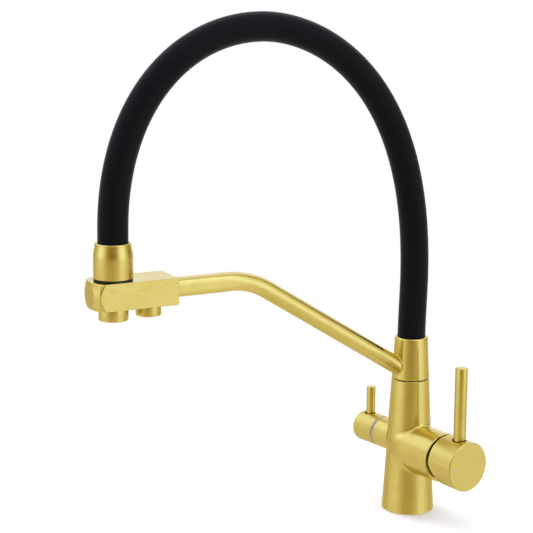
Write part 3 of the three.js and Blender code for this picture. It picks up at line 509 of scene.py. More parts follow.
def bump_from(tree, height, depth):
    """A normal from a height that changes over the surface."""
    return add_node(tree, "ShaderNodeBump", {"Strength": 1.0, "Distance": depth * MM,
                                             "Height": height}).outputs["Normal"]


def opaque(colour):
    """A colour with full alpha."""
    return (*colour, 1)


print("a noise is spread from", NOISE_LOW, "to", NOISE_HIGH, "onto each range")

# %% [markdown]
# ## Satin gold
# The gold is a hard coating over brushed brass: fully metallic, a little green in the yellow, and
# rough enough that lights smear into soft bands. Scratches run up the column, along the arm and
# over the turned parts, so the same recipe is used with a different stretch for each. An image of
# brushed metal would need a flat layout of every part; noise on the part's own coordinates needs none.

# %% Brushed gold
GOLD_TONES = (0.602, 0.467, 0.108), (0.735, 0.588, 0.168)
ACROSS, ALONG = 1100.0, 12.0
SCRATCH_SHARE, CLOUD_SHARE = 0.7, 0.3


def brushed_metal(name, tones, scale, roughness=(0.2, 0.28), depth=0.005):
    """Metal brushed along the direction whose scale is small."""
    material, tree, shader = new_material(name)
    scratches, clouds = grain_on(tree, scale)
    cloudy = maths(tree, "MULTIPLY", clouds, CLOUD_SHARE)
    worn = maths(tree, "MULTIPLY_ADD", scratches, SCRATCH_SHARE, cloudy)
    feed(tree, shader, {
        "Metallic": 1.0,
        "Base Color": blend(tree, ramp(tree, worn, 0.0, 1.0), *map(opaque, tones)),
        "Roughness": ramp(tree, scratches, *roughness),
        "Normal": bump_from(tree, scratches, depth),
    })
    return material


gold_upright = brushed_metal("gold_brushed_upright", GOLD_TONES, (ACROSS, ACROSS, ALONG))
gold_sideways = brushed_metal("gold_brushed_sideways", GOLD_TONES, (ALONG, ACROSS, ACROSS), (0.28, 0.36))
gold_forward = brushed_metal("gold_brushed_forward", GOLD_TONES, (ACROSS, ALONG, ACROSS))
print("gold finishes:", gold_upright.name, gold_sideways.name, gold_forward.name)

# %% [markdown]
# ## The other finishes
# The hose sleeve is silicone: nearly black, with hardly a highlight but a soft sheen at its edges,
# and a very fine leathery texture. Seals are rubber, the washer and the mixer's dome are moulded
# plastic, and what is hidden inside is plain brass, steel and ceramic. None of them is a flat
# colour: even moulded plastic varies in gloss.

# %% Moulded and machined materials
MOULDED_CLOUDS, SHEEN_ROUGHNESS = 25.0, 0.35


def moulded(name, tones, roughness, grain_scale, depth, specular=0.5, sheen=0.0):
    """Plastic, rubber or ceramic with a fine even grain."""
    material, tree, shader = new_material(name)
    scratches, clouds = grain_on(tree, (grain_scale,) * 3, MOULDED_CLOUDS)
    feed(tree, shader, {
        "Specular IOR Level": specular, "Sheen Weight": sheen, "Sheen Roughness": SHEEN_ROUGHNESS,
        "Base Color": blend(tree, ramp(tree, clouds, 0.0, 1.0), *map(opaque, tones)),
        "Roughness": ramp(tree, clouds, *roughness),
        "Normal": bump_from(tree, scratches, depth),
    })
    return material


silicone = moulded("silicone_sleeve", ((0.0035, 0.0036, 0.0042), (0.005, 0.0051, 0.006)),
                   (0.5, 0.6), 1800.0, 0.012, specular=0.06, sheen=0.22)
seal_rubber = moulded("seal_rubber", ((0.008, 0.008, 0.008), (0.014, 0.014, 0.014)),
                      (0.5, 0.65), 1500.0, 0.01)
black_plastic = moulded("black_plastic", ((0.006, 0.006, 0.007), (0.011, 0.011, 0.012)),
                        (0.38, 0.5), 1200.0, 0.008, specular=0.25)
grey_nylon = moulded("grey_nylon", ((0.33, 0.32, 0.31), (0.39, 0.38, 0.37)), (0.4, 0.5), 1200.0, 0.006)
white_plastic = moulded("white_plastic", ((0.74, 0.73, 0.69), (0.8, 0.79, 0.75)),
                        (0.4, 0.55), 1000.0, 0.01)
ceramic = moulded("lapped_ceramic", ((0.82, 0.8, 0.74), (0.88, 0.86, 0.8)), (0.12, 0.22), 900.0, 0.003)
raw_brass = brushed_metal("raw_brass", ((0.58, 0.4, 0.14), (0.68, 0.49, 0.19)),
                          (ACROSS,) * 3, (0.3, 0.45), 0.01)
raw_steel = brushed_metal("raw_steel", ((0.5, 0.5, 0.5), (0.6, 0.6, 0.6)),
                          (ACROSS,) * 3, (0.25, 0.4), 0.01)
print(len(bpy.data.materials), "materials so far")

# %% [markdown]
# ## The column
# One casting: a slowly tapering body, a wide barrel for the mixer cartridge and a thin one for the
# filter valve. The mixer barrel is as wide as the body, so it swells out of it and its sides blend
# in with no visible edge. It is bored from below for the supply hoses, from both sides for the two
# cartridges and from the top for the swivel, and the bores are cut here too, as they show from
# below and between the moving parts. Booleans and a Bevel modifier could do all this, but bevels
# fail where round forms meet at a shallow angle, and a field gives that corner an even fillet.

# %% Column
BASE_RADIUS, SEAM_RADIUS, SEAM_HEIGHT, SEAM_GAP = 24, 17.2, 124.7, 0.9
BODY_TOP = SEAM_HEIGHT - SEAM_GAP / 2
TAPER = (BASE_RADIUS - SEAM_RADIUS) / SEAM_HEIGHT
FOOT_BEVEL, SEAM_BEVEL, BARREL_BEVEL, VALVE_BEVEL = 0.8, 0.35, 0.6, 0.5
MIXER_RADIUS, MIXER_REACH, MIXER_REAR, MIXER_FILLET = 22.3, 48.5, -12, 2.2
SWELL_END, SWELL = 10.5, 0.016
FILTER_RADIUS, FILTER_REACH, FILTER_FILLET = 14.3, 36, 0.9
SUPPLY_BORE, SUPPLY_TOP = 15.5, 30
MIXER_BORE, MIXER_FLOOR = 17.7, 10.4
VALVE_BORE, VALVE_FLOOR = 9.4, 11
SWIVEL_BORE, SWIVEL_FLOOR = 11, 100.3
GASKET_MIDDLE, GASKET_HALF, GASKET_DEPTH = 20, 1.9, 1.9
SLIP_MIDDLE, SLIP_HALF, SLIP_FLOOR = 13.5, 1.3, 122.7
PAST = 150  # for the end of a bore that lies outside the piece


def column_field(x, y, z):
    """Body and barrels, less the bores and two ring grooves."""
    around = np.hypot(x, y)
    side = (around - BASE_RADIUS + TAPER * z) * cos(TAPER)
    body = bevelled(bevelled(side, -z, FOOT_BEVEL), z - BODY_TOP, SEAM_BEVEL)
    across = np.hypot(y, z - MIXER_HEIGHT)
    swollen = MIXER_RADIUS - SWELL * np.maximum(SWELL_END - x, 0) ** 2
    mixer = bevelled(np.maximum(across - swollen, MIXER_REAR - x), x - MIXER_REACH, BARREL_BEVEL)
    valve = rod(y, z - FILTER_HEIGHT, -x, FILTER_RADIUS, 0, FILTER_REACH, VALVE_BEVEL)
    return without(
        joined(joined(body, mixer, MIXER_FILLET), valve, FILTER_FILLET),
        rod(x, y, z, SUPPLY_BORE, -PAST, SUPPLY_TOP),
        rod(y, z - MIXER_HEIGHT, x, MIXER_BORE, MIXER_FLOOR, PAST),
        rod(y, z - FILTER_HEIGHT, -x, VALVE_BORE, VALVE_FLOOR, PAST),
        rod(x, y, z, SWIVEL_BORE, SWIVEL_FLOOR, PAST),
        np.maximum(np.abs(around - GASKET_MIDDLE) - GASKET_HALF, z - GASKET_DEPTH),
        np.maximum(np.abs(around - SLIP_MIDDLE) - SLIP_HALF, SLIP_FLOOR - z),
    )


column = field_piece("column_casting", column_field, (-FILTER_REACH, -BASE_RADIUS, 0),
                     (MIXER_REACH, BASE_RADIUS, BODY_TOP), cell=0.75)
fit_to_frame(column, "base", "brushed_gold", gold_upright, "column")

# %% [markdown]
# ## The swivel collar
# The collar turns on the column with a seam between them. The arm leaves it at a slant, brazed in
# with a very small bead, so the collar carries a short stub that the arm tube slips over. Ring and
# stub are joined as fields, because the bead between them is the same small fillet all round.

# %% Collar
COLLAR_BOTTOM, COLLAR_TOP, COLLAR_TOP_RADIUS = SEAM_HEIGHT + SEAM_GAP / 2, 163.6, 15
LIP_ROUND, ARM_BEAD = 1.5, 0.9
SPIGOT_BORE, HOSE_SOCKET, SOCKET_FLOOR = 11.6, 13.05, 145.9
ARM_RADIUS, ARM_ROOT, ARM_CLIMB = 7.9, 128, radians(31.7)
STUB_PLAY, STUB_START, STUB_END = 0.03, 8, 28


def collar_field(x, y, z):
    """Tapered ring with a rounded lip, and the stub of the arm."""
    share = (z - COLLAR_BOTTOM) / (COLLAR_TOP - COLLAR_BOTTOM)
    side = np.hypot(x, y) - SEAM_RADIUS + (SEAM_RADIUS - COLLAR_TOP_RADIUS) * share
    ring = rounded_meet(bevelled(side, COLLAR_BOTTOM - z, SEAM_BEVEL), z - COLLAR_TOP, LIP_ROUND)
    along = -y * cos(ARM_CLIMB) + (z - ARM_ROOT) * sin(ARM_CLIMB)
    up = y * sin(ARM_CLIMB) + (z - ARM_ROOT) * cos(ARM_CLIMB)
    stub = rod(x, up, along, ARM_RADIUS - STUB_PLAY, STUB_START, STUB_END)
    return without(
        joined(ring, stub, ARM_BEAD),
        rod(x, y, z, SPIGOT_BORE, -PAST, SOCKET_FLOOR + 0.1),
        rod(x, y, z, HOSE_SOCKET, SOCKET_FLOOR, PAST + COLLAR_TOP),
    )


collar = field_piece("swivel_collar_turned", collar_field, (-17.5, -STUB_END, 118),
                     (17.5, 17.5, COLLAR_TOP), 0.6, SPOUT)
fit_to_frame(collar, "spout", "brushed_gold", gold_upright, "swivel_collar")

# %% [markdown]
# ## The mixer cap
# The cap rocks on a ball-shaped dome, so it is hollowed as a sphere behind, and the lower half of
# its rear edge is cut back at a slant to leave room for the rocking. The lever stands in a
# counterbore, which shows as a dark ring round its foot; below sits the hole of the grub screw. A
# sphere, a slanted cut and two cross holes are one line each in a field.

# %% Mixer cap
CAP_START, CAP_END, PIVOT, HOLLOW = 51.1, 80.2, 38, 23.2
RELIEF, CAP_BEVEL = radians(26), 0.6
MARK_HEIGHT = 0.04
LEVER_AT, LEVER_WELL, LEVER_WELL_FLOOR = 68.1, 6.8, 17.3
CAP_SCREW_AT, CAP_SCREW_HOLE, SCREW_HOLE_END = 65.5, 2.8, -4


def cap_field(x, y, z):
    """Cap drawn with its axis up: x to the side, y to the lever, z out of the barrel."""
    side = np.hypot(x, y) - MIXER_RADIUS
    slanted = (CAP_START - y * tan(RELIEF) - z) * cos(RELIEF)
    rear = np.maximum(CAP_START - z, slanted)
    body = np.maximum(bevelled(side, z - CAP_END + MARK_HEIGHT, CAP_BEVEL), bevelled(side, rear, CAP_BEVEL))
    return without(
        body,
        np.sqrt(x**2 + y**2 + (z - PIVOT) ** 2) - HOLLOW,
        rod(x, z - LEVER_AT, y, LEVER_WELL, LEVER_WELL_FLOOR, PAST),
        rod(x, z - CAP_SCREW_AT, y, CAP_SCREW_HOLE, -PAST, SCREW_HOLE_END),
    )


cap = field_piece("mixer_cap_turned", cap_field, (-MIXER_RADIUS, -MIXER_RADIUS, CAP_START),
                  (MIXER_RADIUS, MIXER_RADIUS, CAP_END), 0.6, MIXER)
fit_to_frame(cap, "mixer_handle", "brushed_gold", gold_sideways, "mixer_cap")

# %% [markdown]
# ## The filter knob
# A small closed knob with a soft outer edge, which turns the filter's valve. It is hollow behind,
# where it runs over the valve's neck and takes its stem, so a field serves it like the cap.

# %% Filter knob
KNOB_START, KNOB_END, KNOB_ROUND, KNOB_BEVEL = 38.8, 66.1, 3, 0.5
NECK_BORE, NECK_END, STEM_BORE, STEM_END = 12.4, 43.6, 4.3, 52.3
FILTER_LEVER_AT, FILTER_WELL, FILTER_WELL_FLOOR = 55.9, 5.45, 10.3
KNOB_SCREW_AT, KNOB_SCREW_HOLE = 47.5, 2.3


def knob_field(x, y, z):
    """Knob drawn with its axis up, like the cap."""
    side = np.hypot(x, y) - FILTER_RADIUS
    body = np.maximum(rounded_meet(side, z - KNOB_END, KNOB_ROUND),
                      bevelled(side, KNOB_START - z, KNOB_BEVEL))
    return without(
        body,
        rod(x, y, z, NECK_BORE, -PAST, NECK_END),
        rod(x, y, z, STEM_BORE, -PAST, STEM_END),
        rod(x, z - FILTER_LEVER_AT, y, FILTER_WELL, FILTER_WELL_FLOOR, PAST),
        rod(x, z - KNOB_SCREW_AT, y, KNOB_SCREW_HOLE, -PAST, SCREW_HOLE_END),
    )


knob = field_piece("filter_knob_turned", knob_field, (-FILTER_RADIUS, -FILTER_RADIUS, KNOB_START),
                   (FILTER_RADIUS, FILTER_RADIUS, KNOB_END), 0.5, FILTER)
fit_to_frame(knob, "filter_handle", "brushed_gold", gold_sideways, "filter_knob")

# %% [markdown]
# ## The outlet block
# A bar milled from round stock. Its long faces are flat with broken edges; its front end was faced
# on a lathe, which leaves a disc, a shallow cone round it and a steeper cone towards the corners. A
# field takes the lowest of disc and cones at each point, just as the cutter did.

# %% Outlet block
BLOCK_REAR, BLOCK_FRONT, BLOCK_HALF, BLOCK_MIDDLE, BLOCK_HEIGHT = 242.7, 315.8, 17.3, 232, 22.9
BLOCK_BOTTOM, BLOCK_TOP = BLOCK_MIDDLE - BLOCK_HEIGHT / 2, BLOCK_MIDDLE + BLOCK_HEIGHT / 2
END_DISC, END_DISH, END_FALL = 9.7, 2.9, 1.3
BLOCK_BEVEL, FRONT_BEVEL = 0.4, 0.35


def block_field(x, y, z):
    """Bar along -Y with a turned front end."""
    reach, height = -y, z - BLOCK_MIDDLE
    radius = np.hypot(x, height)
    dish_slope = END_DISH / (BLOCK_HALF - END_DISC)
    dish = (reach - BLOCK_FRONT + (radius - END_DISC) * dish_slope) / np.hypot(1, dish_slope)
    cone = (reach - BLOCK_FRONT + END_DISH + (radius - BLOCK_HALF) * END_FALL) / np.hypot(1, END_FALL)
    front = np.maximum(np.maximum(reach - BLOCK_FRONT, dish), cone)
    bar = bevelled(np.abs(x) - BLOCK_HALF, np.abs(height) - BLOCK_HEIGHT / 2, BLOCK_BEVEL)
    return bevelled(bevelled(bar, BLOCK_REAR - reach, BLOCK_BEVEL), front, FRONT_BEVEL)


block = field_piece("outlet_block_milled", block_field, (-BLOCK_HALF, -BLOCK_FRONT, BLOCK_BOTTOM),
                    (BLOCK_HALF, -BLOCK_REAR, BLOCK_TOP), 0.5, SPOUT)
fit_to_frame(block, "spout", "brushed_gold", gold_forward, "outlet_block")

# %% [markdown]
# ## Levers
# Plain rods with a small round at the top and a thinner stud that screws in below. They are turned
# parts, so an outline of six corners is all that each one needs.

# %% Levers
def lever(name, node, body, place, radius, foot, top, stud, stud_length):
    """A straight lever that stands up from a foot."""
    outline = [
        (0, foot - stud_length), (stud, foot - stud_length, 0.3), (stud, foot), (radius, foot, 0.2),
        (radius, top, 0.7), (0, top),
    ]
    piece = turned_piece(name, outline, Matrix.Translation(place))
    fit_to_frame(piece, body, "brushed_gold", gold_upright, node)


lever("mixer_lever_rod", "mixer_lever", "mixer_handle", (LEVER_AT, 0, MIXER_HEIGHT),
      radius=5.5, foot=17.6, top=88.3, stud=3, stud_length=7.2)
lever("filter_lever_rod", "filter_lever", "filter_handle", (-FILTER_LEVER_AT, 0, FILTER_HEIGHT),
      radius=4.15, foot=10.6, top=39.7, stud=2.3, stud_length=4.1)

# %% [markdown]
# ## The ferrule
# The ferrule holds the hose's end and narrows towards it, over a black seal ring on the block. Both
# are turned outlines. The seam below the ferrule is left open as a real gap, because a gap draws its
# own dark line in any light, and a painted line would not.

# %% Ferrule and its seal
SPOUT_REACH, FILTER_OUTLET, BLOCK_SEAM = 294.4, 263, 0.3
FERRULE_BOTTOM = BLOCK_TOP + 1.75
FERRULE_TOP = FERRULE_BOTTOM + 29.35
FERRULE_BORE, FERRULE_NECK, FERRULE_WIDE, FERRULE_NARROW = 6, 13.2, 16.45, 15
SHOULDER_DOWN, LIP_DOWN = 9.5, 2.5
SEAL_INNER, SEAL_OUTER = 13.6, 16.3
socket_floor, seam_top = FERRULE_BOTTOM + 7.4, BLOCK_TOP + BLOCK_SEAM

ferrule = turned_piece("hose_ferrule", [
    (FERRULE_BORE, seam_top), (FERRULE_NECK, seam_top), (FERRULE_NECK, FERRULE_BOTTOM),
    (FERRULE_WIDE, FERRULE_BOTTOM, 0.4), (FERRULE_WIDE, FERRULE_TOP - SHOULDER_DOWN, 3),
    (FERRULE_NARROW + 0.05, FERRULE_TOP - LIP_DOWN, 1.5), (FERRULE_NARROW, FERRULE_TOP, 1.3),
    (HOSE_SOCKET, FERRULE_TOP, 0.3), (HOSE_SOCKET, socket_floor), (FERRULE_BORE, socket_floor),
], in_spout(SPOUT_REACH))
fit_to_frame(ferrule, "spout", "brushed_gold", gold_upright, "ferrule")

ferrule_ring = turned_piece("ferrule_seal", [
    (SEAL_INNER, seam_top, 0.3), (SEAL_OUTER, seam_top, 0.5), (SEAL_OUTER, FERRULE_BOTTOM - 0.3, 0.5),
    (SEAL_INNER, FERRULE_BOTTOM - 0.3, 0.3),
], in_spout(SPOUT_REACH))
fit_to_frame(ferrule_ring, "spout", "black_rubber", seal_rubber, "ferrule_ring")

# %% [markdown]
# ## The nozzles
# Water leaves through two housings under the block, a wide one for mixed water and a thinner one for
# filtered water. Each has a rounded mouth for its aerator, and a fine seam where it screws in. They
# differ only in size, so one outline is turned twice.

# %% Nozzles
NOZZLE_WALL, SPIGOT_RISE, SEAT_DEPTH = 1.8, 7.5, 3.6
NOZZLES = {"main": (12.35, 209.85, SPOUT_REACH), "filter": (10.7, 210.85, FILTER_OUTLET)}

for outlet, (radius, bottom, reach) in NOZZLES.items():
    mouth, bore = radius - NOZZLE_WALL, radius - 2 * NOZZLE_WALL
    top, spigot_top, seat = BLOCK_BOTTOM - BLOCK_SEAM, BLOCK_BOTTOM + SPIGOT_RISE, bottom + SEAT_DEPTH
    nozzle = turned_piece(f"{outlet}_nozzle_turned", [
        (mouth, bottom, 0.3), (radius, bottom, 0.9), (radius, top, 0.25), (mouth, top),
        (mouth, spigot_top), (bore, spigot_top), (bore, seat), (mouth, seat),
    ], in_spout(reach))
    fit_to_frame(nozzle, "spout", "brushed_gold", gold_upright, f"{outlet}_nozzle")

# %% [markdown]
# ## Black dome and grey washer
# Between barrel and cap a moulded dome closes the gap; between barrel and knob a thin nylon washer
# does. Both are nearly hidden, but their dark and pale lines draw the joints in the photograph. The
# dome's outline is an arc round the point that the cap rocks about, so the gap stays even.

# %% Dome and washer
DOME_RADIUS, DOME_WALL, DOME_MOUTH, DOME_LIFT, ARC_POINTS = 22.4, 1.2, 13.5, 0.3, 12
WASHER_INNER, WASHER_OUTER, WASHER_START, WASHER_END = 10.6, 13.8, 36.3, 38.5
dome_seat = MIXER_REACH + DOME_LIFT - PIVOT


def dome_arc(radius, start, end):
    """Points of a sphere's outline between two heights over the pivot."""
    angles = np.linspace(np.arcsin(start / radius), np.arcsin(end / radius), ARC_POINTS)
    return [(radius * cos(a), PIVOT + radius * sin(a)) for a in angles]


inner = DOME_RADIUS - DOME_WALL
dome = turned_piece("cap_dome", dome_arc(DOME_RADIUS, dome_seat, np.sqrt(DOME_RADIUS**2 - DOME_MOUTH**2))
                    + dome_arc(inner, np.sqrt(inner**2 - DOME_MOUTH**2), dome_seat), MIXER)
fit_to_frame(dome, "base", "black_plastic", black_plastic, "mixer_dome")

washer = turned_piece("nylon_washer", [
    (WASHER_INNER, WASHER_START), (WASHER_OUTER, WASHER_START, 0.3), (WASHER_OUTER, WASHER_END, 0.3),
    (WASHER_INNER, WASHER_END),
], FILTER)
fit_to_frame(washer, "base", "grey_plastic", grey_nylon, "knob_washer")

# %% [markdown]
# ## Sweeps with Geometry Nodes
# The arm and the hose are the same idea: a round section drawn along a path. One node tree does
# both, with the radius and the number of sides as inputs. A curve's own bevel could draw a round
# tube, but the arm's level run is pressed to a rounded square. So the tree also moves the round
# section's points out to the curve |a|^n + |b|^n = 1, where the power n grows from 2, a circle, over
# a stretch of the reach. The hose keeps n = 2, which moves nothing.

# %% Rounded square section
def new_geometry_tree(name, inputs):
    """A tree that takes a geometry, a material and other named inputs, and gives a geometry."""
    return new_tree(name, "GeometryNodeTree",
                    [("Geometry", "Geometry", None), *inputs, ("Material", "Material", None)],
                    [("Geometry", "Geometry")])


def finish_tree(tree, geometry, start, end):
    """Realises the geometry, sets its material and joins it to the output."""
    realised = add_node(tree, "GeometryNodeRealizeInstances", {"Geometry": geometry})
    finished = add_node(tree, "GeometryNodeSetMaterial", {
        "Geometry": realised.outputs["Geometry"], "Material": start.outputs["Material"]})
    feed(tree, end, {"Geometry": finished.outputs["Geometry"]})


def squared(tree, body, centre, start):
    """Moves the points of a round sweep out to a rounded square that grows with the reach."""
    place = add_node(tree, "GeometryNodeInputPosition").outputs["Position"]
    power = add_node(tree, "ShaderNodeMapRange", {
        "Value": vector_maths(tree, "DOT_PRODUCT", place, start.outputs["Forward"]),
        "From Min": start.outputs["Square From"], "From Max": start.outputs["Square To"],
        "To Min": 2, "To Max": start.outputs["Power"],
    }, interpolation_type="SMOOTHSTEP").outputs["Result"]
    outward = vector_maths(tree, "SUBTRACT", place, centre)
    sideways = vector_maths(tree, "DOT_PRODUCT", outward, start.outputs["Sideways"])
    share = maths(tree, "ABSOLUTE", maths(tree, "DIVIDE", sideways, start.outputs["Radius"]))
    a = maths(tree, "MINIMUM", share, 1.0)
    b = maths(tree, "SQRT", maths(tree, "SUBTRACT", 1.0, maths(tree, "MULTIPLY", a, a)))
    total = maths(tree, "ADD", maths(tree, "POWER", a, power), maths(tree, "POWER", b, power))
    factor = maths(tree, "POWER", total, maths(tree, "DIVIDE", -1.0, power))
    stretched = add_node(tree, "ShaderNodeVectorMath", {0: outward, "Scale": factor}, operation="SCALE")
    move = add_node(tree, "GeometryNodeSetPosition", {
        "Geometry": body, "Position": vector_maths(tree, "ADD", centre, stretched.outputs["Vector"])})
    return move.outputs["Geometry"]


print("node trees so far:", len(bpy.data.node_groups))

# %% [markdown]
# The tree resamples the path at even steps and runs a circle along it. It also remembers where the
# path ran at each step, because the section's points are moved as seen from there.

# %% Sweep tree
def sweep_tree():
    """A round or rounded square section along a curve, at even steps."""
    tree, start, end, keys = new_geometry_tree("section sweep", [
        ("Radius", "Float", 0.01), ("Step", "Float", 0.002), ("Sides", "Int", 64), ("Power", "Float", 2.0),
        ("Square From", "Float", 0.0), ("Square To", "Float", 1.0),
        ("Forward", "Vector", (0, -1, 0)), ("Sideways", "Vector", (1, 0, 0))])
    even = add_node(tree, "GeometryNodeResampleCurve", {
        "Curve": start.outputs["Geometry"], "Length": start.outputs["Step"]}, mode="LENGTH")
    section = add_node(tree, "GeometryNodeCurvePrimitiveCircle", {
        "Radius": start.outputs["Radius"], "Resolution": start.outputs["Sides"]})
    centre = tree.nodes.new("GeometryNodeCaptureAttribute")
    centre.capture_items.new("VECTOR", "Centre")
    feed(tree, centre, {
        "Geometry": even.outputs["Curve"],
        "Centre": add_node(tree, "GeometryNodeInputPosition").outputs["Position"]})
    body = add_node(tree, "GeometryNodeCurveToMesh", {
        "Curve": centre.outputs["Geometry"], "Profile Curve": section.outputs["Curve"], "Fill Caps": True})
    finish_tree(tree, squared(tree, body.outputs["Mesh"], centre.outputs["Centre"], start), start, end)
    return tree, keys


SWEEP = sweep_tree()
print("sweep tree:", len(SWEEP[0].nodes), "nodes")

# %% [markdown]
# A tree works through a modifier, whose inputs are set by the sockets' identifiers. The export needs
# plain meshes, so the result is copied out of the evaluated object, and the path and its modifier
# are dropped.

# %% From a node tree to a piece
def nodes_to_piece(name, base, tree_and_keys, values):
    """Runs a node tree on an object and keeps the result as a plain mesh piece."""
    modifier = base.modifiers.new("nodes", "NODES")
    modifier.node_group, keys = tree_and_keys
    for socket, value in values.items():
        modifier[keys[socket]] = value
    bpy.context.view_layer.update()
    graph = bpy.context.evaluated_depsgraph_get()
    mesh = bpy.data.meshes.new_from_object(base.evaluated_get(graph), depsgraph=graph)
    bpy.data.objects.remove(base)
    mesh.name = name
    return smooth_piece(name, mesh)


def path_object(name, route):
    """A poly curve on the spout through a route of (reach, height) in millimetres."""
    curve = bpy.data.curves.new(name, "CURVE")
    curve.dimensions = "3D"
    line = curve.splines.new("POLY")
    line.points.add(len(route) - 1)
    places = placed([(0, -reach, height) for reach, height in route], SPOUT)
    for point, place in zip(line.points, places):
        point.co = (*(place * MM), 1)
    print(name, "has", len(route), "points")
    return in_scene(name, curve)


print("rest pose of the spout:", round(SWING * 180 / pi, 1), "degrees")

# %% [markdown]
# ## The arm
# A straight climb out of the collar, one bend, and a level run into the block. The bend is a true
# arc that touches both straights, so the light runs along it without a kink. Round at its foot, the
# tube is pressed to a rounded square from before the bend's end to a little after it.

# %% Arm
ARM_BEND, BEND_POINTS, ARM_START, ARM_IN_BLOCK = 71, 40, 9, 8
SQUARE_BEFORE, SQUARE_AFTER, SQUARENESS = 23, 15, 4.2
SWEEP_STEP, ARM_SIDES = 2, 120
bend_end = (BLOCK_MIDDLE - ARM_ROOT) / tan(ARM_CLIMB) + ARM_BEND * tan(ARM_CLIMB / 2)


def arm_route():
    """Points of the arm's centre line, as reach and height."""
    bend = [(bend_end - ARM_BEND * sin(angle), BLOCK_MIDDLE - ARM_BEND + ARM_BEND * cos(angle))
            for angle in np.linspace(ARM_CLIMB, 0, BEND_POINTS)]
    start = (ARM_START, ARM_ROOT + ARM_START * tan(ARM_CLIMB))
    return [start, *bend, (BLOCK_REAR + ARM_IN_BLOCK, BLOCK_MIDDLE)]


arm = nodes_to_piece("arm_tube_bent", path_object("arm_path", arm_route()), SWEEP, {
    "Radius": ARM_RADIUS * MM, "Step": SWEEP_STEP * MM, "Sides": ARM_SIDES, "Power": SQUARENESS,
    "Square From": (bend_end - SQUARE_BEFORE) * MM, "Square To": (bend_end + SQUARE_AFTER) * MM,
    "Forward": tuple(SPOUT.to_3x3() @ Vector((0, -1, 0))),
    "Sideways": tuple(SPOUT.to_3x3() @ Vector((1, 0, 0))), "Material": gold_forward})
fit_to_frame(arm, "spout", "brushed_gold", gold_forward, "arm_tube")

# %% [markdown]
# ## The hose
# The hose leaves the collar straight up, leans forward over a crown that is nearer to the column
# than to the block, and drops straight into the ferrule. Its path is a chain of Bezier pieces,
# because a stiff hose bends in just such even curves between the two ends that hold it.

# %% Hose
HOSE_RADIUS, HOSE_SIDES = 12.75, 72
HOSE_FOOT, HOSE_LOW = (0, 152.4), (0, 158)
HOSE_END, HOSE_ABOVE_END = (SPOUT_REACH, FERRULE_BOTTOM + 10.3), (SPOUT_REACH, 270)
LEAN_START, RISE_END = (0, COLLAR_TOP), (-1.5, 224)
CROWN, DROP_START = (157.9, 447.8), (SPOUT_REACH, 284.6)
LEAN_HANDLE, RISE_HANDLE, CROWN_BACK, CROWN_AHEAD, DROP_HANDLE = 20.1, 175.7, 57.2, 74.8, 103.4


def bezier(start, start_handle, end_handle, end, steps=60):
    """Points of one cubic piece without its last; handles are steps from their own ends."""
    t = np.linspace(0, 1, steps, endpoint=False)[:, None]
    first, last = np.array(start), np.array(end)
    second, third = first + start_handle, last + end_handle
    return (1 - t) ** 3 * first + 3 * (1 - t) ** 2 * t * second + 3 * (1 - t) * t**2 * third + t**3 * last


hose_route = np.concatenate([
    [HOSE_FOOT, HOSE_LOW],
    bezier(LEAN_START, (0, LEAN_HANDLE), (0, -LEAN_HANDLE), RISE_END, 20),
    bezier(RISE_END, (0, RISE_HANDLE), (-CROWN_BACK, 0), CROWN),
    bezier(CROWN, (CROWN_AHEAD, 0), (0, DROP_HANDLE), DROP_START),
    [DROP_START, HOSE_ABOVE_END, HOSE_END],
])
hose = nodes_to_piece("hose_sleeve_soft", path_object("hose_path", hose_route), SWEEP, {
    "Radius": HOSE_RADIUS * MM, "Step": SWEEP_STEP * MM, "Sides": HOSE_SIDES, "Material": silicone})
fit_to_frame(hose, "spout", "silicone", silicone, "hose_sleeve")

# %% [markdown]
# ## The aerators' screens
# Each nozzle ends in a screen that mixes air into the water: two layers of fine wires across a ring.
# An image of a mesh would look flat from close by, so the wires are made. A Geometry Nodes tree lays
# them on a line and makes each as long as the ring is wide there, and so it fits both nozzles.

# %% Wires on a line
LEAST_SQUARE = 1e-7


def wire_places(tree, radius, pitch):
    """Points on a line through the ring's middle, one for each wire, at an even pitch."""
    half_count = maths(tree, "FLOOR", maths(tree, "DIVIDE", radius, pitch))
    first = maths(tree, "MULTIPLY", maths(tree, "MULTIPLY", half_count, pitch), -1)
    return add_node(tree, "GeometryNodeMeshLine", {
        "Count": maths(tree, "ADD", maths(tree, "MULTIPLY", half_count, 2), 1),
        "Start Location": add_node(tree, "ShaderNodeCombineXYZ", {"X": first}).outputs["Vector"],
        "Offset": add_node(tree, "ShaderNodeCombineXYZ", {"X": pitch}).outputs["Vector"],
    }).outputs["Mesh"]


def wire_stretch(tree, radius):
    """Half of the ring's width at each wire, as the wire's scale along itself."""
    place = add_node(tree, "GeometryNodeInputPosition").outputs["Position"]
    x = add_node(tree, "ShaderNodeSeparateXYZ", {"Vector": place}).outputs["X"]
    square = maths(tree, "SUBTRACT", maths(tree, "MULTIPLY", radius, radius),
                   maths(tree, "MULTIPLY", x, x))
    length = maths(tree, "SQRT", maths(tree, "MAXIMUM", square, LEAST_SQUARE))
    return add_node(tree, "ShaderNodeCombineXYZ", {"X": 1, "Y": 1, "Z": length}).outputs["Vector"]


print("no wire is shorter than", round(2 * LEAST_SQUARE**0.5 / MM, 2), "mm")

# %% [markdown]
# One wire, two metres long, stands on every point and is scaled down to its length. The second layer
# is the first one turned a quarter and lifted, so the wires cross without touching.

# %% Screen tree
WIRE_SIDES, LAYER_GAP = 8, 2.2


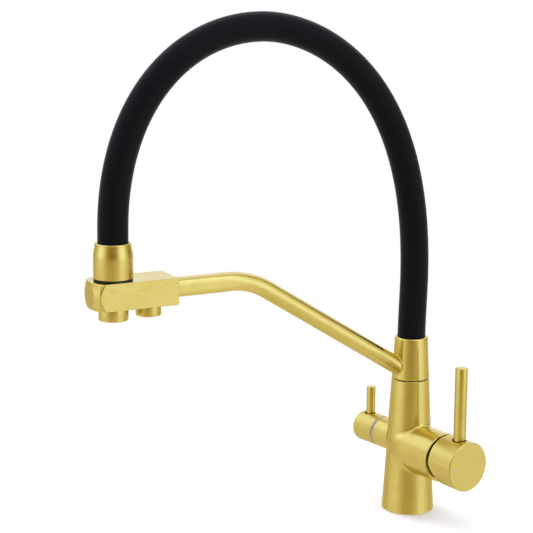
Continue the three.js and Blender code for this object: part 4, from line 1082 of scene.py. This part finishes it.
def screen_tree():
    """Two crossed layers of wires, each as long as the ring is wide there."""
    tree, start, end, keys = new_geometry_tree("aerator screen", [
        ("Radius", "Float", 0.01), ("Pitch", "Float", 0.0015), ("Wire", "Float", 0.0003)])
    radius, pitch, wire_radius = (start.outputs[name] for name in ("Radius", "Pitch", "Wire"))
    places, stretch = wire_places(tree, radius, pitch), wire_stretch(tree, radius)
    one_wire = add_node(tree, "GeometryNodeMeshCylinder", {
        "Vertices": WIRE_SIDES, "Depth": 2, "Radius": wire_radius})
    layers = tree.nodes.new("GeometryNodeJoinGeometry")
    for layer in (0, 1):
        laid = add_node(tree, "GeometryNodeInstanceOnPoints", {
            "Points": places, "Instance": one_wire.outputs["Mesh"], "Scale": stretch,
            "Rotation": (pi / 2, 0, 0)})
        lift = maths(tree, "MULTIPLY", wire_radius, LAYER_GAP * layer)
        crossed = add_node(tree, "GeometryNodeTransform", {
            "Geometry": laid.outputs["Instances"], "Rotation": (0, 0, layer * pi / 2),
            "Translation": add_node(tree, "ShaderNodeCombineXYZ", {"Z": lift}).outputs["Vector"]})
        feed(tree, layers, {"Geometry": crossed.outputs["Geometry"]})
    finish_tree(tree, layers.outputs["Geometry"], start, end)
    return tree, keys


SCREEN = screen_tree()
print("screen tree:", len(SCREEN[0].nodes), "nodes")

# %% [markdown]
# ## The aerators
# A screen sits in a black plastic ring, in the nozzle's mouth. Behind it the ring has a closed back,
# as the real one's layers of mesh let no light through.

# %% Aerators
RING_PLAY, RING_WALL, RING_HEIGHT, BACK_AT = 0.3, 1.5, 2.3, 1.7
PITCH, WIRE_RADIUS, SCREEN_AT, IN_MOUTH, SCREEN_GRIP = 1.5, 0.22, 0.9, 0.9, 0.2

for outlet, (nozzle_radius, bottom, reach) in NOZZLES.items():
    name = f"{outlet}_aerator"
    outer, start = nozzle_radius - NOZZLE_WALL - RING_PLAY, bottom + IN_MOUTH
    hole, top, back = outer - RING_WALL, start + RING_HEIGHT, start + BACK_AT
    ring = turned_piece(name + "_ring", [(hole, start + 0.2, 0.2), (outer, start, 0.3), (outer, top),
                                         (0, top), (0, back), (hole, back)], in_spout(reach))
    seed = in_scene(name + "_seed", bpy.data.meshes.new(name + "_seed"))
    screen = nodes_to_piece(name + "_screen", seed, SCREEN, {
        "Radius": (hole + SCREEN_GRIP) * MM, "Pitch": PITCH * MM, "Wire": WIRE_RADIUS * MM,
        "Material": raw_steel})
    seat = in_spout(reach, start + SCREEN_AT)
    seat.translation = seat.translation * MM
    screen.data.transform(seat)
    fit_to_frame(ring, "spout", "black_plastic", black_plastic, name)
    fit_to_frame(screen, "spout", "black_plastic", raw_steel, name)

# %% [markdown]
# ## Hot and cold marks
# The face of the cap carries two small marks, H to one side and C to the other, faint and lilac
# grey. They are drawn from plain strokes of even width, as a fine inlay that lies just proud of
# the face and ends level with the cap's outer limit. Text objects would bring a font's own shapes,
# with thick and thin parts that such small marks don't have.

# %% Strokes
MARK_FACE, MARK_ROOT = CAP_END - MARK_HEIGHT, 0.1


def strokes(name, shapes):
    """Thin closed slabs on the cap's face, each from an outline of two sides of equal count."""
    points, faces = [], []
    for outline in shapes:
        first, size = len(points), len(outline)
        for height in (MARK_FACE - MARK_ROOT, CAP_END):
            points += [(x, y, height) for x, y in outline]
        for i in range(size):
            low, high = first + i, first + (i + 1) % size
            faces.append((low, high, high + size, low + size))
        for i in range(size // 2 - 1):
            a, b, c, d = first + i, first + i + 1, first + size - 2 - i, first + size - 1 - i
            faces += [(a, d, c, b), (a + size, b + size, c + size, d + size)]
    return new_piece(name, points, faces, MIXER)


def stroke(centre, left, low, right, high):
    """A rectangle round a centre, counter-clockwise from its lower left."""
    x, y = centre
    return [(x + left, y + low), (x + right, y + low), (x + right, y + high), (x + left, y + high)]


def open_ring(centre, radius, width, opening, tall=1.15):
    """An arc of even width, open to the right: the outer edge, then the inner edge back."""
    x, y = centre
    angles = np.linspace(opening, 2 * pi - opening, 24)
    outer = [(x + radius * cos(a), y + tall * radius * sin(a)) for a in angles]
    within = [(x + (radius - width) * cos(a), y + (tall * radius - width) * sin(a)) for a in angles[::-1]]
    return outer + within


print("marks stand", MARK_HEIGHT, "mm proud")

# %% [markdown]
# The H is two uprights and a bar, and the C an open ring, each far too small for a rounded edge.
# Their enamel is a lilac grey about as bright as the gold, and as dull as moulded plastic, so they
# show only from near by, as in the photograph.

# %% Hot and cold
HOT, COLD = (-13.5, -0.8), (15.5, 0.9)
hot = strokes("hot_mark", [stroke(HOT, -1.75, -2.1, -1.15, 2.1), stroke(HOT, 1.15, -2.1, 1.75, 2.1),
                           stroke(HOT, -1.15, -0.3, 1.15, 0.3)])
cold = strokes("cold_mark", [open_ring(COLD, 1.85, 0.6, radians(42))])
mark_enamel = moulded("mark_enamel", ((0.42, 0.36, 0.40), (0.50, 0.43, 0.46)), (0.4, 0.5), 900.0, 0.002)
for mark in (hot, cold):
    fit_to_frame(mark, "mixer_handle", "brushed_gold", mark_enamel)

# %% [markdown]
# ## The hidden parts
# Seals, cartridge, valve, swivel and fittings keep the shapes of the frame. They still get real
# finishes, because they show from below and whenever a part is taken off. Each part says its slot,
# so one table from slots to finishes serves them all.

# %% Finishes of the frame's own parts
FINISHES = {
    "brushed_gold": gold_upright, "plain_brass": raw_brass, "steel": raw_steel,
    "black_rubber": seal_rubber, "black_plastic": black_plastic, "white_plastic": white_plastic,
    "grey_plastic": grey_nylon, "ceramic": ceramic, "silicone": silicone,
}
for part in frame["record"]["subparts"]:
    node = frame["nodes"][part["node"]]
    node.data.materials.clear()
    node.data.materials.append(FINISHES[part["material_slot"]])

# %% [markdown]
# ## A plain white studio
# Metal shows what stands round it, so the studio is drawn for its reflections. Level with the tap
# stand a broad light to its left, a narrower one to its right, and dark space behind the camera and
# far to the right; overhead the room is bright nearly all round. These draw the bright and the dark
# bands along the column. Dim places are warm and bright ones cool, which deepens the gold in its
# shadows. The studio is fixed in the room, so it stays when the tap is looked at from another side,
# and to the eye its backdrop is plain white.

# %% Bands of light
# Degrees to the right of the photographer, seen from the tap, and brightness there.
UPPER_BANDS = [
    (-180, 0.90), (-135, 1.28), (-112, 1.25), (-88, 1.45), (-68, 1.30), (-30, 0.82), (0, 0.80),
    (20, 1.20), (52, 1.50), (68, 1.48), (84, 1.05), (105, 0.88), (125, 0.90), (150, 1.25), (180, 0.90),
]
LEVEL_BANDS = [
    (-180, 1.15), (-160, 0.95), (-140, 0.62), (-124, 0.60), (-106, 0.88), (-94, 1.00), (-80, 1.45),
    (-68, 1.42), (-53, 1.15), (-38, 0.72), (-23, 0.38), (0, 0.28), (22, 0.34), (37, 0.85), (50, 1.38),
    (67, 1.42), (82, 1.15), (97, 0.72), (115, 0.46), (130, 0.48), (148, 0.75), (165, 1.05), (180, 1.15),
]
LOWER_BANDS = [
    (-180, 0.84), (-140, 0.72), (-118, 0.74), (-98, 0.92), (-55, 0.95), (-36, 0.74), (-16, 0.65),
    (12, 0.70), (34, 0.84), (48, 1.10), (70, 1.10), (95, 0.84), (115, 0.74), (150, 0.80), (180, 0.86),
]
BELOW_BANDS = [
    (-180, 0.85), (-150, 0.78), (-90, 0.92), (-60, 0.90), (-10, 0.72), (20, 0.78), (60, 0.98), (180, 0.85),
]
# Heights, in degrees over the horizon, between which one row of bands turns into the next
UPPER_FADE, LOWER_FADE, BELOW_FADE = (10, 32), (-11, -4), (-34, -18)
BRIGHTEST = 2.9
CHANNEL_POWERS = (1, 1.33, 2.4)


def light_colour(level):
    """Warm where dim, cool where bright, as shares of the brightest value."""
    return tuple(level**power / BRIGHTEST for power in CHANNEL_POWERS)


print("a dim place:", [round(c, 2) for c in light_colour(0.4)], "of the brightest")

# %% [markdown]
# Each row of bands becomes a colour ramp over the turn round the tap, which a world tree finds from
# the direction that a ray looks in. Between two heights one row fades into the next. Big area lamps
# could draw the same bands, but their edges would be hard and their light would whiten the floor.

# %% Directions in the room
world = bpy.data.worlds.new("white_studio")
bpy.context.scene.world = world
world.use_nodes = True
room = world.node_tree
room.nodes.clear()
looking = add_node(room, "ShaderNodeTexCoord").outputs["Generated"]
to_front = vector_maths(room, "DOT_PRODUCT", looking, (sin(VIEW_AZIMUTH), -cos(VIEW_AZIMUTH), 0))
to_right = vector_maths(room, "DOT_PRODUCT", looking, (cos(VIEW_AZIMUTH), sin(VIEW_AZIMUTH), 0))
upwards = vector_maths(room, "DOT_PRODUCT", looking, (0, 0, 1))
turned_right = maths(room, "ARCTAN2", to_right, to_front)
turn_share = maths(room, "MULTIPLY_ADD", turned_right, 1 / (2 * pi), 0.5)


def band_colours(bands):
    """The light from each direction round the tap."""
    band_ramp = add_node(room, "ShaderNodeValToRGB", {"Fac": turn_share})
    stops = band_ramp.color_ramp.elements
    while len(stops) < len(bands):
        stops.new(0.5)
    for stop, (degrees_right, level) in zip(stops, bands):
        stop.position = degrees_right / 360 + 0.5
        stop.color = opaque(light_colour(level))
    return band_ramp.outputs["Color"]


def faded(first, second, fade):
    """Two rows of bands, the second above the first, with a soft change between two heights."""
    low, high = (sin(radians(height)) for height in fade)
    share = add_node(room, "ShaderNodeMapRange", {"Value": upwards, "From Min": low, "From Max": high},
                     interpolation_type="SMOOTHSTEP")
    return blend(room, share.outputs["Result"], first, second)


print("the photographer stands", round(VIEW_AZIMUTH * 180 / pi), "degrees round from straight ahead")

# %% [markdown]
# The photograph's ground is pure white, while the metal shows a room. So the camera's own rays see
# plain white, and only rays that bounce off the tap see the bands.

# %% Backdrop for the eye and for reflections
below, lower, level, upper = map(band_colours, (BELOW_BANDS, LOWER_BANDS, LEVEL_BANDS, UPPER_BANDS))
reflections = faded(faded(faded(below, lower, BELOW_FADE), level, LOWER_FADE), upper, UPPER_FADE)
reflected = add_node(room, "ShaderNodeBackground", {"Color": reflections, "Strength": BRIGHTEST})
seen = add_node(room, "ShaderNodeBackground", {"Color": (1, 1, 1, 1), "Strength": 1})
choose = add_node(room, "ShaderNodeMixShader", {
    "Fac": add_node(room, "ShaderNodeLightPath").outputs["Is Camera Ray"],
    1: reflected.outputs["Background"], 2: seen.outputs["Background"]})
add_node(room, "ShaderNodeOutputWorld", {"Surface": choose.outputs["Shader"]})
print("studio:", len(room.nodes), "nodes")

# %% [markdown]
# ## The floor
# The floor is white paper, lit so fully that it melts into the backdrop and only the tap's own soft
# shadow stays, to the lower right. It is a thin disc, larger than the column's shadow, and too thin
# for its rim to show from other sides. The photograph's column has no bright floor mirrored in its
# foot, so reflections don't see the paper either.

# %% Floor
FLOOR_RADIUS, FLOOR_TOP, FLOOR_BOTTOM = 200, -0.15, -0.4
PAPER_GRAIN = (300, 300, 300)
PAPER_TONES = (0.95, 0.925, 0.86), (0.97, 0.945, 0.88)

floor = turned_piece("studio_floor", [(0, FLOOR_BOTTOM), (FLOOR_RADIUS, FLOOR_BOTTOM),
                                      (FLOOR_RADIUS, FLOOR_TOP), (0, FLOOR_TOP)])
paper, paper_tree, paper_shader = new_material("white_paper")
_, paper_clouds = grain_on(paper_tree, PAPER_GRAIN)
feed(paper_tree, paper_shader, {
    "Base Color": blend(paper_tree, paper_clouds, *map(opaque, PAPER_TONES)),
    "Roughness": 0.9, "Specular IOR Level": 0.1})
floor.data.materials.append(paper)
floor.visible_glossy = False
print("floor", 2 * FLOOR_RADIUS, "mm across")

# %% [markdown]
# ## The lamps
# One broad lamp behind and to the left throws the shadow to the lower right; a second one in front
# fills it. Both are large for their distance, which is what makes the shadow's edge soft. The bands
# above already give the metal its reflections, so the metal doesn't see the lamps.

# %% Lamps
def soft_lamp(name, place, target, size, power):
    """A square lamp that faces a point; places in metres."""
    light = bpy.data.lights.new(name, "AREA")
    light.shape, light.size, light.energy = "SQUARE", size, power
    lamp = in_scene(name, light)
    facing = (Vector(place) - Vector(target)).to_track_quat("Z", "Y").to_matrix()
    lamp.matrix_world = Matrix.Translation(place) @ facing.to_4x4()
    lamp.visible_glossy = False
    print(name, "shines with", power, "W")


def room_place(right, front, up):
    """A place in the room, in metres to the right of the tap, towards the viewer, and up."""
    right_way, front_way = level_ways()
    return Vector(right * right_way + front * front_way) + Vector((0, 0, up))


soft_lamp("lamp_behind_left", room_place(-1.0, -0.9, 1.6), (0, 0, 0.05), 0.9, 13)
soft_lamp("lamp_front_right", room_place(1.3, 0.9, 1.3), (0, 0, 0.2), 1.0, 8)
